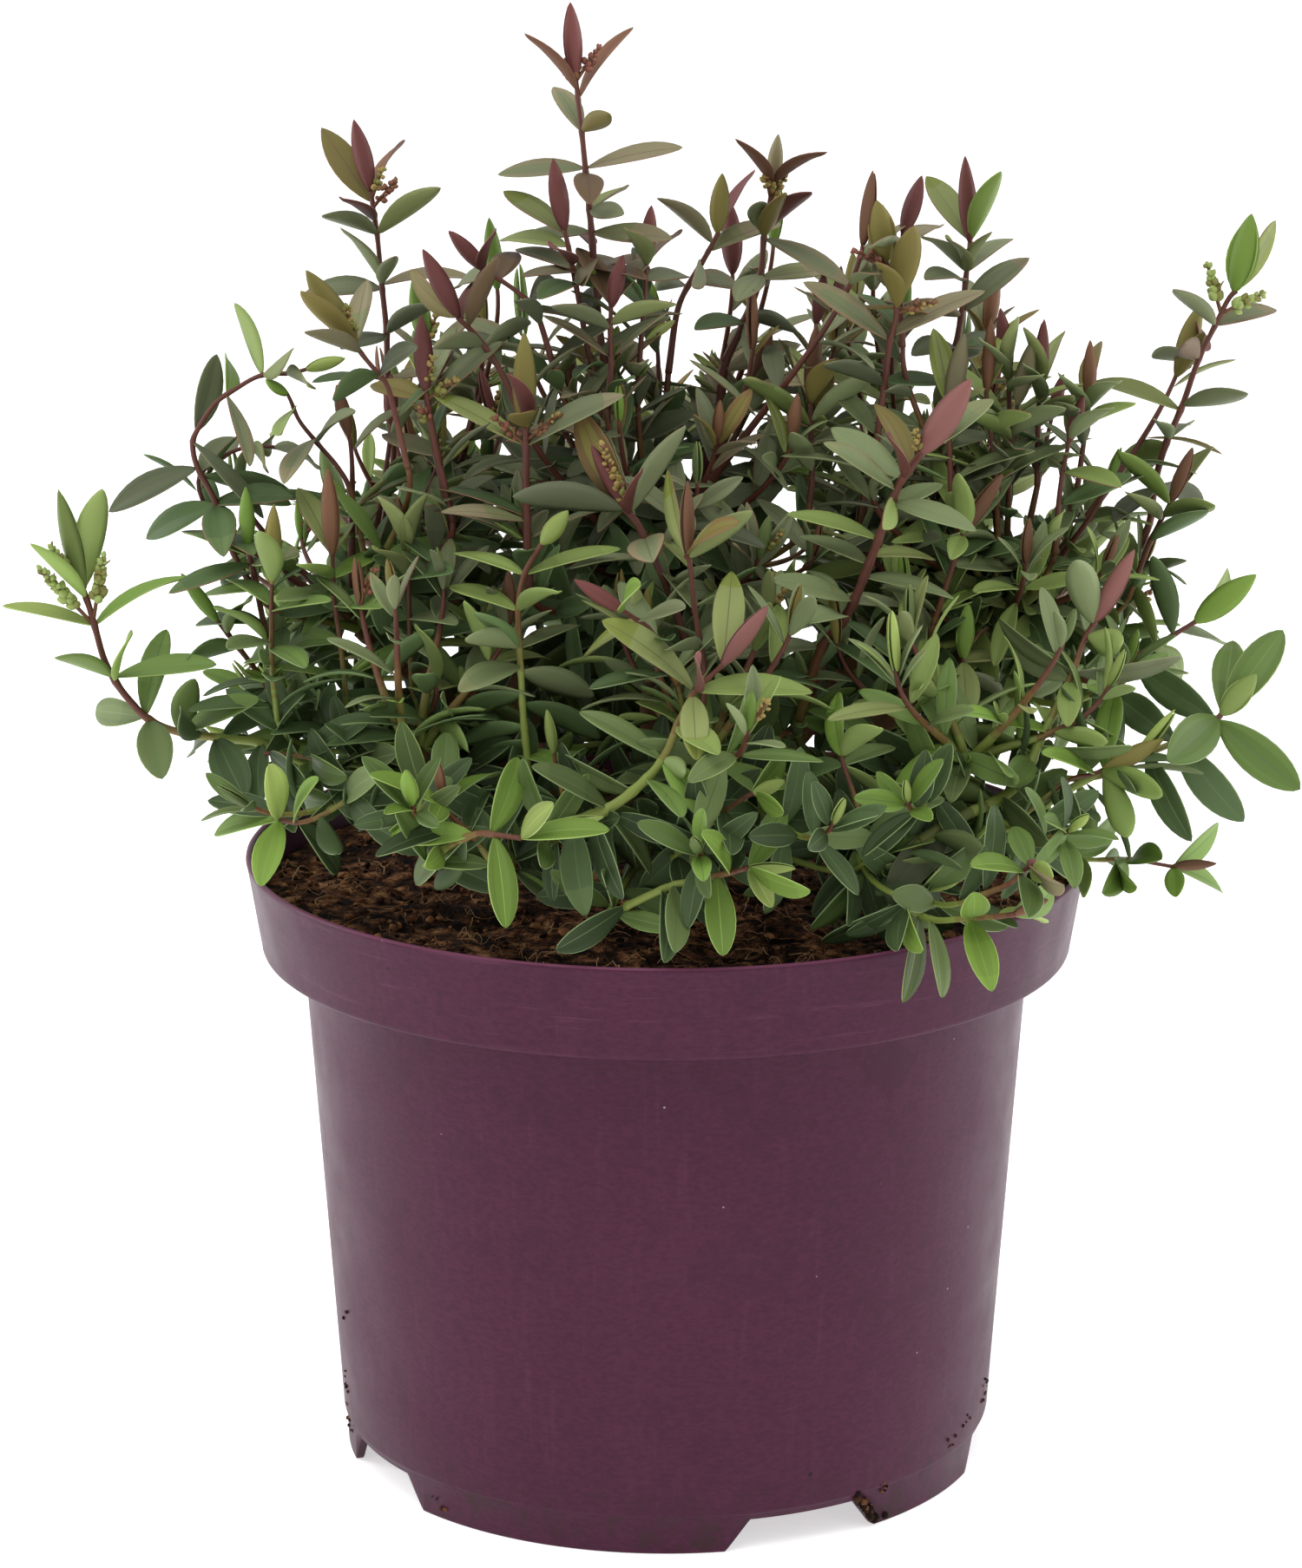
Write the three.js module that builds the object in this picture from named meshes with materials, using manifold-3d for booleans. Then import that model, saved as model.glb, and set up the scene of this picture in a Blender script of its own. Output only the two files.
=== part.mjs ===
// Hebe shrub in a round nursery pot: pot, growing medium, short stem, boughs and
// masses of foliage. Millimetres, +Z up, origin on the ground under the pot's axis,
// -Y is the front.
import * as THREE from 'three';
import { mergeVertices } from 'three/addons/utils/BufferGeometryUtils.js';
import Module from 'manifold-3d';

const wasm = await Module();
wasm.setup();

// ---------------------------------------------------------------- driving sizes
const GAP = 0.3;              // clearance between neighbouring solids

const POT = {
  height: 125.8,              // ground to the top of the rim
  rimR: 85.0,                 // outer radius at the top of the rim
  bandLowR: 81.9,             // outer radius at the bottom of the rim band
  bandLowZ: 107.0,            // bottom of the rim band
  wallTopR: 73.6,             // outer radius of the wall just under the band
  footR: 66.0,                // outer radius at the ground
  stepZ: 8.2,                 // height of the faint ring step above the foot
  stepOut: 0.5,               // how far that step stands out
  wall: 1.5,                  // wall thickness
  basePlateZ: 7.0,            // underside of the raised base plate
  basePlateT: 1.6,            // its thickness
  skirtT: 2.2,                // thickness of the skirt under the base plate
  notchH: 6.5,                // height of the notches between the feet
  notchSlant: 5.0,            // sideways slant of a notch's side
  segments: 48,
};
// Notches in the skirt: from and to, in degrees round from the front towards +X.
const NOTCHES = [[12.2, 36.5], [69.6, 94], [127, 151], [213, 237], [287.6, 310.4]];

const SOIL = { topZ: 118.0, rough: 1.1, flatR: 11, segments: 28, rings: 4 };

const STEM = { topZ: 134, footR: 7.2, midR: 4.9, topR: 3.9, leanX: -2.0, leanY: 0.6, sides: 10 };

// Space left free under the crown, above the growing medium.
const HOLLOW = { r: 60, h: 21, z: 119 };

// Masses of foliage: centre, half-sizes, tilt about Y in degrees, mesh detail.
const MASSES = {
  foliage_centre:       { c: [-2, 6, 175],     r: [46, 40, 48],   tilt: 0,   d: 2 },
  foliage_front:        { c: [6, -54, 156],    r: [42, 37, 34],   tilt: 0,   d: 2 },
  foliage_front_left:   { c: [-50, -46, 158],  r: [38, 36, 34],   tilt: -8,  d: 2 },
  foliage_left:         { c: [-61, -4, 172],   r: [32, 38, 36],   tilt: -10, d: 2 },
  foliage_back_left:    { c: [-46, 44, 168],   r: [38, 38, 38],   tilt: 0,   d: 2 },
  foliage_back:         { c: [2, 56, 165],     r: [40, 37, 40],   tilt: 0,   d: 2 },
  foliage_back_right:   { c: [50, 44, 166],    r: [38, 38, 38],   tilt: 0,   d: 2 },
  foliage_right:        { c: [66, 2, 170],     r: [36, 38, 37],   tilt: 8,   d: 2 },
  foliage_front_right:  { c: [58, -46, 155],   r: [37, 35, 33],   tilt: 6,   d: 2 },
  shoots_leader:        { c: [-15, 0, 261],    r: [18, 15, 35],   tilt: -2,  d: 2 },
  shoots_top_left:      { c: [-58, 12, 244.5], r: [15, 14, 27],   tilt: -5,  d: 1 },
  shoots_upper_left:    { c: [-37, -16, 227],  r: [16, 14, 25],   tilt: -6,  d: 1 },
  shoots_left_lean:     { c: [-71, -24, 226],  r: [13, 13, 21],   tilt: -16, d: 1 },
  shoots_left_curl:     { c: [-94, -8, 207],   r: [17, 14, 18],   tilt: -20, d: 1 },
  shoots_top_middle:    { c: [14, 15, 242.5],  r: [17, 15, 25],   tilt: 10,  d: 2 },
  shoots_middle_right:  { c: [38, -14, 240],   r: [14, 14, 24],   tilt: 4,   d: 1 },
  shoots_front_red:     { c: [46, -40, 206],   r: [16, 14, 22],   tilt: 16,  d: 1 },
  shoots_top_right:     { c: [63, 18, 239],    r: [13, 13, 25],   tilt: 4,   d: 1 },
  shoots_right:         { c: [79, -8, 218],    r: [17, 16, 21],   tilt: 8,   d: 2 },
  shoots_right_arm:     { c: [109, 10, 226],   r: [17, 15, 29],   tilt: 8,   d: 2 },
  shoots_right_middle:  { c: [108, -8, 182],   r: [15, 13, 12],   tilt: 30,  d: 1 },
  shoots_right_low:     { c: [110, -34, 160],  r: [17, 16, 20],   tilt: 10,  d: 2 },
  shoots_right_under:   { c: [100, -26, 133],  r: [15, 12, 7],    tilt: 0,   d: 1 },
  shoots_rim_right:     { c: [50, -88, 131],   r: [14, 8, 10],    tilt: 0,   d: 1 },
  shoots_left_tip:      { c: [-108, -28, 191], r: [18, 15, 21],   tilt: -10, d: 2 },
  shoots_left_low:      { c: [-90, -40, 152],  r: [22, 16, 12],   tilt: 12,  d: 1 },
  shoots_back_peak:     { c: [22, 42, 230],    r: [15, 14, 26],   tilt: 4,   d: 2 },
  shoots_back_left_peak: { c: [-42, 42, 224],  r: [15, 14, 22],   tilt: -6,  d: 2 },
  shoots_back_right_peak: { c: [66, 40, 214],  r: [14, 13, 22],   tilt: 8,   d: 2 },
  shoots_back_low:      { c: [-18, 88, 150],   r: [22, 9, 15],    tilt: 0,   d: 1 },
  shoots_inner_left:    { c: [-34, 24, 225],   r: [17, 14, 24],   tilt: -4,  d: 1 },
  shoots_inner_right:   { c: [42, 26, 228],    r: [16, 14, 23],   tilt: 6,   d: 1 },
};

// Boughs: tapering limbs from the stem into the masses. Each starts on the stem at
// height z0 and ends in the middle of its mass; bow lifts the middle of the limb.
const BOUGHS = {
  bough_centre:      { to: 'foliage_centre',      z0: 132, r0: 3.4, r1: 2.4, bow: 0 },
  bough_front:       { to: 'foliage_front',       z0: 127, r0: 2.8, r1: 2.0, bow: -5 },
  bough_front_left:  { to: 'foliage_front_left',  z0: 128, r0: 2.8, r1: 2.0, bow: -6 },
  bough_left:        { to: 'foliage_left',        z0: 130, r0: 3.0, r1: 2.1, bow: -8 },
  bough_back_left:   { to: 'foliage_back_left',   z0: 129, r0: 2.8, r1: 2.0, bow: -7 },
  bough_back:        { to: 'foliage_back',        z0: 127, r0: 2.8, r1: 2.0, bow: -6 },
  bough_back_right:  { to: 'foliage_back_right',  z0: 128, r0: 2.8, r1: 2.0, bow: -7 },
  bough_right:       { to: 'foliage_right',       z0: 130, r0: 3.0, r1: 2.1, bow: -8 },
  bough_front_right: { to: 'foliage_front_right', z0: 129, r0: 2.8, r1: 2.0, bow: -6 },
};

// Limbs: from one mass out to the next one, bare where they cross the gap between.
const LIMBS = {
  limb_leader:        { from: 'foliage_centre',      to: 'shoots_leader',          r0: 2.2, r1: 1.3, side: [3, 0, 0] },
  limb_top_left:      { from: 'foliage_left',        to: 'shoots_top_left',        r0: 1.9, r1: 1.2, side: [3, 0, 0] },
  limb_upper_left:    { from: 'foliage_centre',      to: 'shoots_upper_left',      r0: 1.9, r1: 1.2, side: [-2, -3, 0] },
  limb_left_lean:     { from: 'foliage_left',        to: 'shoots_left_lean',       r0: 1.7, r1: 1.1, side: [3, -2, 0] },
  limb_left_curl:     { from: 'foliage_left',        to: 'shoots_left_curl',       r0: 1.7, r1: 1.1, side: [-4, 0, 2] },
  limb_top_middle:    { from: 'foliage_centre',      to: 'shoots_top_middle',      r0: 2.0, r1: 1.2, side: [2, 0, 0] },
  limb_middle_right:  { from: 'foliage_centre',      to: 'shoots_middle_right',    r0: 1.8, r1: 1.1, side: [4, 0, -2] },
  limb_front_red:     { from: 'foliage_front_right', to: 'shoots_front_red',       r0: 2.3, r1: 1.5, side: [-4, 0, 0] },
  limb_top_right:     { from: 'foliage_right',       to: 'shoots_top_right',       r0: 1.9, r1: 1.2, side: [-2, 0, 0] },
  limb_right:         { from: 'foliage_right',       to: 'shoots_right',           r0: 1.8, r1: 1.2, side: [2, -2, 0] },
  limb_right_arm:     { from: 'foliage_right',       to: 'shoots_right_arm',       r0: 2.0, r1: 1.3, side: [3, 0, -3] },
  limb_right_middle:  { from: 'foliage_right',       to: 'shoots_right_middle',    r0: 1.7, r1: 1.2, side: [0, -2, -2] },
  limb_right_low:     { from: 'foliage_front_right', to: 'shoots_right_low',       r0: 1.8, r1: 1.3, side: [0, 0, 3] },
  limb_right_under:   { from: 'foliage_front_right', to: 'shoots_right_under',     r0: 1.4, r1: 1.0, side: [0, 0, 0] },
  limb_left_low:      { from: 'foliage_front_left',  to: 'shoots_left_low',        r0: 1.9, r1: 1.4, side: [0, 0, 2] },
  limb_left_tip:      { from: 'shoots_left_low',     to: 'shoots_left_tip',        r0: 1.5, r1: 1.2, side: [-5, 0, -2] },
  limb_back_peak:     { from: 'foliage_back',        to: 'shoots_back_peak',       r0: 1.9, r1: 1.2, side: [0, -3, 0] },
  limb_back_left_peak: { from: 'foliage_back_left',  to: 'shoots_back_left_peak',  r0: 1.8, r1: 1.2, side: [2, 0, 0] },
  limb_back_right_peak: { from: 'foliage_back_right', to: 'shoots_back_right_peak', r0: 1.8, r1: 1.2, side: [-2, 0, 0] },
  limb_inner_left:    { from: 'foliage_back_left',   to: 'shoots_inner_left',      r0: 1.8, r1: 1.2, side: [2, 0, 0] },
  limb_inner_right:   { from: 'foliage_back_right',  to: 'shoots_inner_right',     r0: 1.8, r1: 1.2, side: [-2, 0, 0] },
};

// ---------------------------------------------------------------- colours
const MATERIALS = {
  pot: new THREE.MeshStandardMaterial({ color: 0x5a3a4b, roughness: 0.42, metalness: 0 }),
  soil: new THREE.MeshStandardMaterial({ color: 0x33221a, roughness: 0.95, metalness: 0 }),
  bark: new THREE.MeshStandardMaterial({ color: 0x6b4a37, roughness: 0.8, metalness: 0 }),
  foliage: new THREE.MeshStandardMaterial({ color: 0x4c6343, roughness: 0.55, metalness: 0 }),
  shoots: new THREE.MeshStandardMaterial({ color: 0x6d8a4c, roughness: 0.5, metalness: 0 }),
};

// ---------------------------------------------------------------- helpers
const rad = (deg) => (deg * Math.PI) / 180;

function seeded(seed) {
  let s = seed >>> 0;
  return () => {
    s = (s + 0x6d2b79f5) >>> 0;
    let t = Math.imul(s ^ (s >>> 15), 1 | s);
    t = (t + Math.imul(t ^ (t >>> 7), 61 | t)) ^ t;
    return ((t ^ (t >>> 14)) >>> 0) / 4294967296;
  };
}

// Closed three.js geometry to a solid.
function toSolid(geometry) {
  const g = geometry.index ? geometry.toNonIndexed() : geometry.clone();
  for (const name of Object.keys(g.attributes)) if (name !== 'position') g.deleteAttribute(name);
  const merged = mergeVertices(g, 1e-4);
  const pos = merged.attributes.position.array;
  const idx = Array.from(merged.index.array);
  const tri = [];
  for (let i = 0; i < idx.length; i += 3) {
    const [a, b, c] = [idx[i], idx[i + 1], idx[i + 2]];
    if (a !== b && b !== c && a !== c) tri.push(a, b, c);
  }
  return new wasm.Manifold(new wasm.Mesh({
    numProp: 3, vertProperties: new Float32Array(pos), triVerts: new Uint32Array(tri),
  }));
}

// Solid back to a three.js geometry.
function toGeometry(solid) {
  const mesh = solid.getMesh();
  const g = new THREE.BufferGeometry();
  const n = mesh.vertProperties.length / mesh.numProp;
  const pos = new Float32Array(n * 3);
  for (let i = 0; i < n; i++) for (let k = 0; k < 3; k++) pos[i * 3 + k] = mesh.vertProperties[i * mesh.numProp + k];
  g.setAttribute('position', new THREE.BufferAttribute(pos, 3));
  g.setIndex(Array.from(mesh.triVerts));
  g.computeVertexNormals();
  return g;
}

// Largest separate piece of a solid.
function largest(solid) {
  const parts = solid.decompose();
  let best = parts[0];
  for (const p of parts) if (p.volume() > best.volume()) best = p;
  return best;
}

// Solid of revolution about Z from a closed (r, z) outline.
function turned(outline, segments) {
  const pts = outline.map(([r, z]) => new THREE.Vector2(r, z));
  pts.push(pts[0].clone());
  const g = new THREE.LatheGeometry(pts, segments);
  g.rotateX(Math.PI / 2);
  let s = toSolid(g);
  if (s.volume() < 0) {
    const flipped = g.index.array;
    for (let i = 0; i < flipped.length; i += 3) [flipped[i], flipped[i + 1]] = [flipped[i + 1], flipped[i]];
    s = toSolid(g);
  }
  return s;
}

// Large block whose near face has the given outward direction and point.
function halfSpace(point, normal) {
  const size = 600;
  const g = new THREE.BoxGeometry(size, size, size);
  g.translate(0, 0, size / 2);
  const q = new THREE.Quaternion().setFromUnitVectors(new THREE.Vector3(0, 0, 1), normal);
  g.applyQuaternion(q);
  g.translate(point.x, point.y, point.z);
  return toSolid(g);
}

// Tapering limb along a curve.
function taperedLimb(points, r0, r1, sides, steps) {
  const curve = new THREE.CatmullRomCurve3(points);
  const shape = new THREE.Shape();
  for (let i = 0; i < sides; i++) {
    const a = (i / sides) * Math.PI * 2;
    if (i === 0) shape.moveTo(Math.cos(a), Math.sin(a));
    else shape.lineTo(Math.cos(a), Math.sin(a));
  }
  const g = new THREE.ExtrudeGeometry(shape, { steps, bevelEnabled: false, extrudePath: curve });
  const rings = [];
  for (let i = 0; i <= steps; i++) rings.push(curve.getPointAt(i / steps));
  const pos = g.attributes.position;
  const v = new THREE.Vector3();
  for (let i = 0; i < pos.count; i++) {
    v.fromBufferAttribute(pos, i);
    let best = 0;
    let bestD = Infinity;
    rings.forEach((p, k) => { const d = p.distanceTo(v); if (d < bestD) { bestD = d; best = k; } });
    const r = r0 + (r1 - r0) * (best / steps);
    v.sub(rings[best]).multiplyScalar(r).add(rings[best]);
    pos.setXYZ(i, v.x, v.y, v.z);
  }
  return toSolid(g);
}

// Uneven closed lump: a sphere of facets swelled and pinched by a few slow waves.
function lump(spec, seed, grow = 0) {
  const rnd = seeded(seed);
  const waves = [];
  for (let i = 0; i < 5; i++) {
    waves.push({
      k: new THREE.Vector3(rnd() - 0.5, rnd() - 0.5, rnd() - 0.5).normalize().multiplyScalar(2.2 + 2.6 * rnd()),
      p: rnd() * 6.283,
      a: 0.035 + 0.03 * rnd(),
    });
  }
  const g = new THREE.IcosahedronGeometry(1, spec.d);
  const pos = g.attributes.position;
  const v = new THREE.Vector3();
  for (let i = 0; i < pos.count; i++) {
    v.fromBufferAttribute(pos, i).normalize();
    let s = 1;
    for (const w of waves) s += w.a * Math.sin(w.k.dot(v) + w.p);
    s = Math.min(s, 1.06);
    v.set(v.x * (spec.r[0] * s + grow), v.y * (spec.r[1] * s + grow), v.z * (spec.r[2] * s + grow));
    pos.setXYZ(i, v.x, v.y, v.z);
  }
  g.rotateY(rad(spec.tilt));
  g.translate(...spec.c);
  return toSolid(g);
}

// Half-size of an upright ellipsoid along a direction.
function reach(r, n) {
  return 1 / Math.sqrt((n.x / r[0]) ** 2 + (n.y / r[1]) ** 2 + (n.z / r[2]) ** 2);
}

// ---------------------------------------------------------------- pot
function makePot() {
  const P = POT;
  const slope = (P.wallTopR - P.footR - P.stepOut) / (P.bandLowZ - 1.4);
  const wallR = (z) => P.footR + slope * z;
  const outline = [
    [P.footR, 0],
    [wallR(P.stepZ - 0.7), P.stepZ - 0.7],
    [wallR(P.stepZ) + P.stepOut, P.stepZ],
    [P.wallTopR, P.bandLowZ - 1.4],
    [P.bandLowR, P.bandLowZ],
    [P.rimR, P.height - 0.3],
    [P.rimR - 0.35, P.height],
    [P.rimR - 1.25, P.height],
    [P.bandLowR - P.wall, P.bandLowZ + 1.5],
    [P.wallTopR - P.wall, P.bandLowZ - 0.6],
    [wallR(P.basePlateZ + P.basePlateT) - P.wall + P.stepOut * 0.5, P.basePlateZ + P.basePlateT],
    [0, P.basePlateZ + P.basePlateT],
    [0, P.basePlateZ],
    [P.footR - P.skirtT + 0.3, P.basePlateZ],
    [P.footR - P.skirtT, 0],
  ];
  let pot = turned(outline, P.segments);
  for (const [a0, a1] of NOTCHES) {
    const mid = rad((a0 + a1) / 2);
    const half = P.footR * Math.tan(rad((a1 - a0) / 2));
    const s = new THREE.Shape();
    s.moveTo(-half, -1);
    s.lineTo(half, -1);
    s.lineTo(half, 0);
    s.lineTo(half - P.notchSlant, P.notchH);
    s.lineTo(-half + P.notchSlant, P.notchH);
    s.lineTo(-half, 0);
    const g = new THREE.ExtrudeGeometry(s, { depth: 14, bevelEnabled: false });
    // Shape lies in X (round the pot) and Y (up), depth runs outwards.
    const m = new THREE.Matrix4().makeBasis(
      new THREE.Vector3(Math.cos(mid), Math.sin(mid), 0),
      new THREE.Vector3(0, 0, 1),
      new THREE.Vector3(Math.sin(mid), -Math.cos(mid), 0),
    );
    g.applyMatrix4(m);
    const from = P.footR - 8;
    g.translate(Math.sin(mid) * from, -Math.cos(mid) * from, 0);
    pot = pot.subtract(toSolid(g));
  }
  return pot;
}

// ---------------------------------------------------------------- growing medium
function makeSoil() {
  const P = POT;
  const S = SOIL;
  const slope = (P.wallTopR - P.footR - P.stepOut) / (P.bandLowZ - 1.4);
  const inner = (z) => P.footR + slope * z - P.wall + P.stepOut * 0.5;
  const bottom = P.basePlateZ + P.basePlateT + GAP;
  const shoulder = P.bandLowZ - 0.6 - GAP * 2;
  // the band is wider than the wall, so the medium spreads out above the ledge
  const spread = P.bandLowZ + 1.5 + GAP;
  const bandInner = (z) => P.bandLowR - P.wall + (P.rimR - 1.25 - P.bandLowR + P.wall) * (z - P.bandLowZ - 1.5) / (P.height - P.bandLowZ - 1.5);
  const outline = [[0, bottom], [inner(bottom) - GAP * 1.5, bottom], [P.wallTopR - P.wall - GAP * 2, shoulder],
    [bandInner(spread) - 6.5, spread + 0.2], [bandInner(spread + 2) - GAP * 2, spread + 1.9],
    [bandInner(S.topZ) - GAP * 2, S.topZ]];
  const rim = bandInner(S.topZ) - GAP * 2;
  for (let i = S.rings - 1; i >= 1; i--) outline.push([S.flatR + (rim - S.flatR) * (i / S.rings), S.topZ]);
  outline.push([S.flatR, S.topZ], [0, S.topZ]);
  const pts = outline.map(([r, z]) => new THREE.Vector2(r, z));
  pts.push(pts[0].clone());
  const g = new THREE.LatheGeometry(pts, S.segments);
  g.rotateX(Math.PI / 2);
  const pos = g.attributes.position;
  for (let i = 0; i < pos.count; i++) {
    const [x, y, z] = [pos.getX(i), pos.getY(i), pos.getZ(i)];
    const r = Math.hypot(x, y);
    if (z > S.topZ - 0.01 && r > S.flatR + 0.1) {
      const w = Math.min(1, (r - S.flatR) / 8);
      const n = Math.sin(x * 0.11 + 1.3) * Math.cos(y * 0.13 + 0.4) + 0.6 * Math.sin(x * 0.23 - y * 0.19 + 2.1);
      pos.setZ(i, z + w * S.rough * n);
    }
  }
  let s = toSolid(g);
  if (s.volume() < 0) {
    const idx = g.index.array;
    for (let i = 0; i < idx.length; i += 3) [idx[i], idx[i + 1]] = [idx[i + 1], idx[i]];
    s = toSolid(g);
  }
  return s;
}

// ---------------------------------------------------------------- stem
function makeStem() {
  const S = STEM;
  const foot = SOIL.topZ + GAP;
  const outline = [[0, foot], [S.footR, foot], [S.footR * 0.82, foot + 2.5], [S.midR, foot + 6.5], [S.topR, S.topZ - 1], [S.topR * 0.6, S.topZ], [0, S.topZ]];
  const pts = outline.map(([r, z]) => new THREE.Vector2(r, z));
  pts.push(pts[0].clone());
  const g = new THREE.LatheGeometry(pts, S.sides);
  g.rotateX(Math.PI / 2);
  const pos = g.attributes.position;
  for (let i = 0; i < pos.count; i++) {
    const t = (pos.getZ(i) - foot) / (S.topZ - foot);
    pos.setX(i, pos.getX(i) + S.leanX * t);
    pos.setY(i, pos.getY(i) + S.leanY * t);
  }
  let s = toSolid(g);
  if (s.volume() < 0) {
    const idx = g.index.array;
    for (let i = 0; i < idx.length; i += 3) [idx[i], idx[i + 1]] = [idx[i + 1], idx[i]];
    s = toSolid(g);
  }
  return s;
}

// ---------------------------------------------------------------- crown
const massNames = Object.keys(MASSES);
const masses = {};
massNames.forEach((name, i) => { masses[name] = lump(MASSES[name], 101 + 37 * i); });

// Neighbours that meet are parted by a plane between their centres.
for (let i = 0; i < massNames.length; i++) {
  for (let j = i + 1; j < massNames.length; j++) {
    const a = MASSES[massNames[i]];
    const b = MASSES[massNames[j]];
    const ca = new THREE.Vector3(...a.c);
    const cb = new THREE.Vector3(...b.c);
    const n = cb.clone().sub(ca);
    const dist = n.length();
    if (dist > Math.max(...a.r) + Math.max(...b.r) + 8) continue;
    n.normalize();
    if (masses[massNames[i]].intersect(masses[massNames[j]]).volume() < 0.001) continue;
    const ra = reach(a.r, n);
    const rb = reach(b.r, n);
    const at = ca.clone().addScaledVector(n, dist * ra / (ra + rb));
    const near = at.clone().addScaledVector(n, -GAP / 2);
    const far = at.clone().addScaledVector(n, GAP / 2);
    masses[massNames[i]] = masses[massNames[i]].subtract(halfSpace(near, n));
    masses[massNames[j]] = masses[massNames[j]].subtract(halfSpace(far, n.clone().negate()));
  }
}

// Keep the crown clear of the pot and of the space under it.
const potSpace = turned([[0, -2], [POT.rimR + 1.4, -2], [POT.rimR + 1.4, POT.height + 0.6], [0, POT.height + 0.6]], 24);
const hollowShape = new THREE.SphereGeometry(1, 12, 6);
hollowShape.rotateX(Math.PI / 2);
hollowShape.scale(HOLLOW.r, HOLLOW.r, HOLLOW.h);
hollowShape.translate(0, 0, HOLLOW.z);
const hollow = toSolid(hollowShape);
for (const name of massNames) masses[name] = largest(masses[name].subtract(potSpace).subtract(hollow));

// The masses a little larger, to trim the limbs with a gap.
const grown = {};
for (const name of massNames) {
  const c = MASSES[name].c;
  const k = 1 + (GAP * 1.6) / Math.min(...MASSES[name].r);
  grown[name] = masses[name].translate([-c[0], -c[1], -c[2]]).scale([k, k, k]).translate([c[0], c[1], c[2]]);
}
const crown = wasm.Manifold.union(Object.values(grown));

const stem = makeStem();
const stemGrown = stem.translate([-STEM.leanX / 2, -STEM.leanY / 2, -125]).scale([1.12, 1.12, 1.05]).translate([STEM.leanX / 2, STEM.leanY / 2, 125]);

const woods = {};
const boughSolids = [];
for (const [name, b] of Object.entries(BOUGHS)) {
  const m = MASSES[b.to];
  const t = (b.z0 - SOIL.topZ) / (STEM.topZ - SOIL.topZ);
  const start = new THREE.Vector3(STEM.leanX * t, STEM.leanY * t, b.z0);
  const end = new THREE.Vector3(...m.c);
  const mid = start.clone().lerp(end, 0.5);
  mid.z += b.bow;
  let s = taperedLimb([start, mid, end], b.r0, b.r1, 6, 4);
  s = s.subtract(crown).subtract(stemGrown);
  for (const other of boughSolids) s = s.subtract(other);
  if (s.isEmpty()) continue;
  s = largest(s);
  woods[name] = s;
  const box = s.boundingBox();
  const cc = [0, 1, 2].map((k) => (box.min[k] + box.max[k]) / 2);
  boughSolids.push(s.translate(cc.map((x) => -x)).scale([1.06, 1.06, 1.06]).translate(cc));
}
const limbSolids = [];
for (const [name, l] of Object.entries(LIMBS)) {
  const start = new THREE.Vector3(...MASSES[l.from].c);
  const end = new THREE.Vector3(...MASSES[l.to].c);
  const mid = start.clone().lerp(end, 0.5).add(new THREE.Vector3(...l.side));
  let s = taperedLimb([start, mid, end], l.r0, l.r1, 6, 4).subtract(crown).subtract(potSpace);
  if (s.isEmpty()) continue;
  s = largest(s);
  if (s.volume() < 4) continue;
  woods[name] = s;
  limbSolids.push(s);
}

// ---------------------------------------------------------------- the plant in its pot
const plant = new THREE.Group();
function add(name, solid, material) {
  const mesh = new THREE.Mesh(toGeometry(solid), material);
  mesh.name = name;
  plant.add(mesh);
}
add('pot', makePot(), MATERIALS.pot);
add('growing_medium', makeSoil(), MATERIALS.soil);
add('stem', stem, MATERIALS.bark);
for (const [name, s] of Object.entries(woods)) add(name, s, MATERIALS.bark);
for (const name of massNames) add(name, masses[name], name.startsWith('foliage') ? MATERIALS.foliage : MATERIALS.shoots);

export default plant;
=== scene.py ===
"""Hebe shrub in its nursery pot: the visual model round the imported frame."""
import math
import random

import bpy
import numpy as np
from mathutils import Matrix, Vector, noise


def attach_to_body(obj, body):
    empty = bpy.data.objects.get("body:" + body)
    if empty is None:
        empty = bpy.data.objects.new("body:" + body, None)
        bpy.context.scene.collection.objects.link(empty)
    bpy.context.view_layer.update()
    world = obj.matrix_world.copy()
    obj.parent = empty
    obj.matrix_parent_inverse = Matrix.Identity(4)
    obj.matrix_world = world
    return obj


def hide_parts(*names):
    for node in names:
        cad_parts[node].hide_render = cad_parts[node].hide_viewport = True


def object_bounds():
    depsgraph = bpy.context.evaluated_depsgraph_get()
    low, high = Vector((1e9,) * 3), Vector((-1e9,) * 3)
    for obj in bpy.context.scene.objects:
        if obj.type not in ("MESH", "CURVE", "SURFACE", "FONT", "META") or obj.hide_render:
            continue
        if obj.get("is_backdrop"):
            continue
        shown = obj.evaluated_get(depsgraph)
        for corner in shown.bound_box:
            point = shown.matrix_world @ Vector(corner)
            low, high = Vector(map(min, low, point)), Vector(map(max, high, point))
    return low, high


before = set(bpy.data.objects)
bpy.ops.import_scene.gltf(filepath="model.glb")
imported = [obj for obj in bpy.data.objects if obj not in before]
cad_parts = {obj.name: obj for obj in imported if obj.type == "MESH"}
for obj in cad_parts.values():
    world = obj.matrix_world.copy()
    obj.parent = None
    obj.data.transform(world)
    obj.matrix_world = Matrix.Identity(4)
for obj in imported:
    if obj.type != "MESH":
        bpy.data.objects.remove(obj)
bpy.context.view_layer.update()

rnd = random.Random(20417)
MM = 0.001

# ------------------------------------------------------------------ viewpoint
# Focal length in picture heights of 1807, place in mm and downward pitch.
FOCAL, CU, CV = 5773.93, 750.0, 903.5
EYE = np.array([-3.03, -977.33, 399.37])
PITCH = math.radians(14.922)
CP, SP = math.cos(PITCH), math.sin(PITCH)


def ray(u, v):
    """Unit direction from the eye through a place in the 1500 by 1807 frame."""
    dx, dz = (u - CU) / FOCAL, -(v - CV) / FOCAL
    d = np.array([dx, CP + dz * SP, -SP + dz * CP])
    return d / np.linalg.norm(d)


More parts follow.
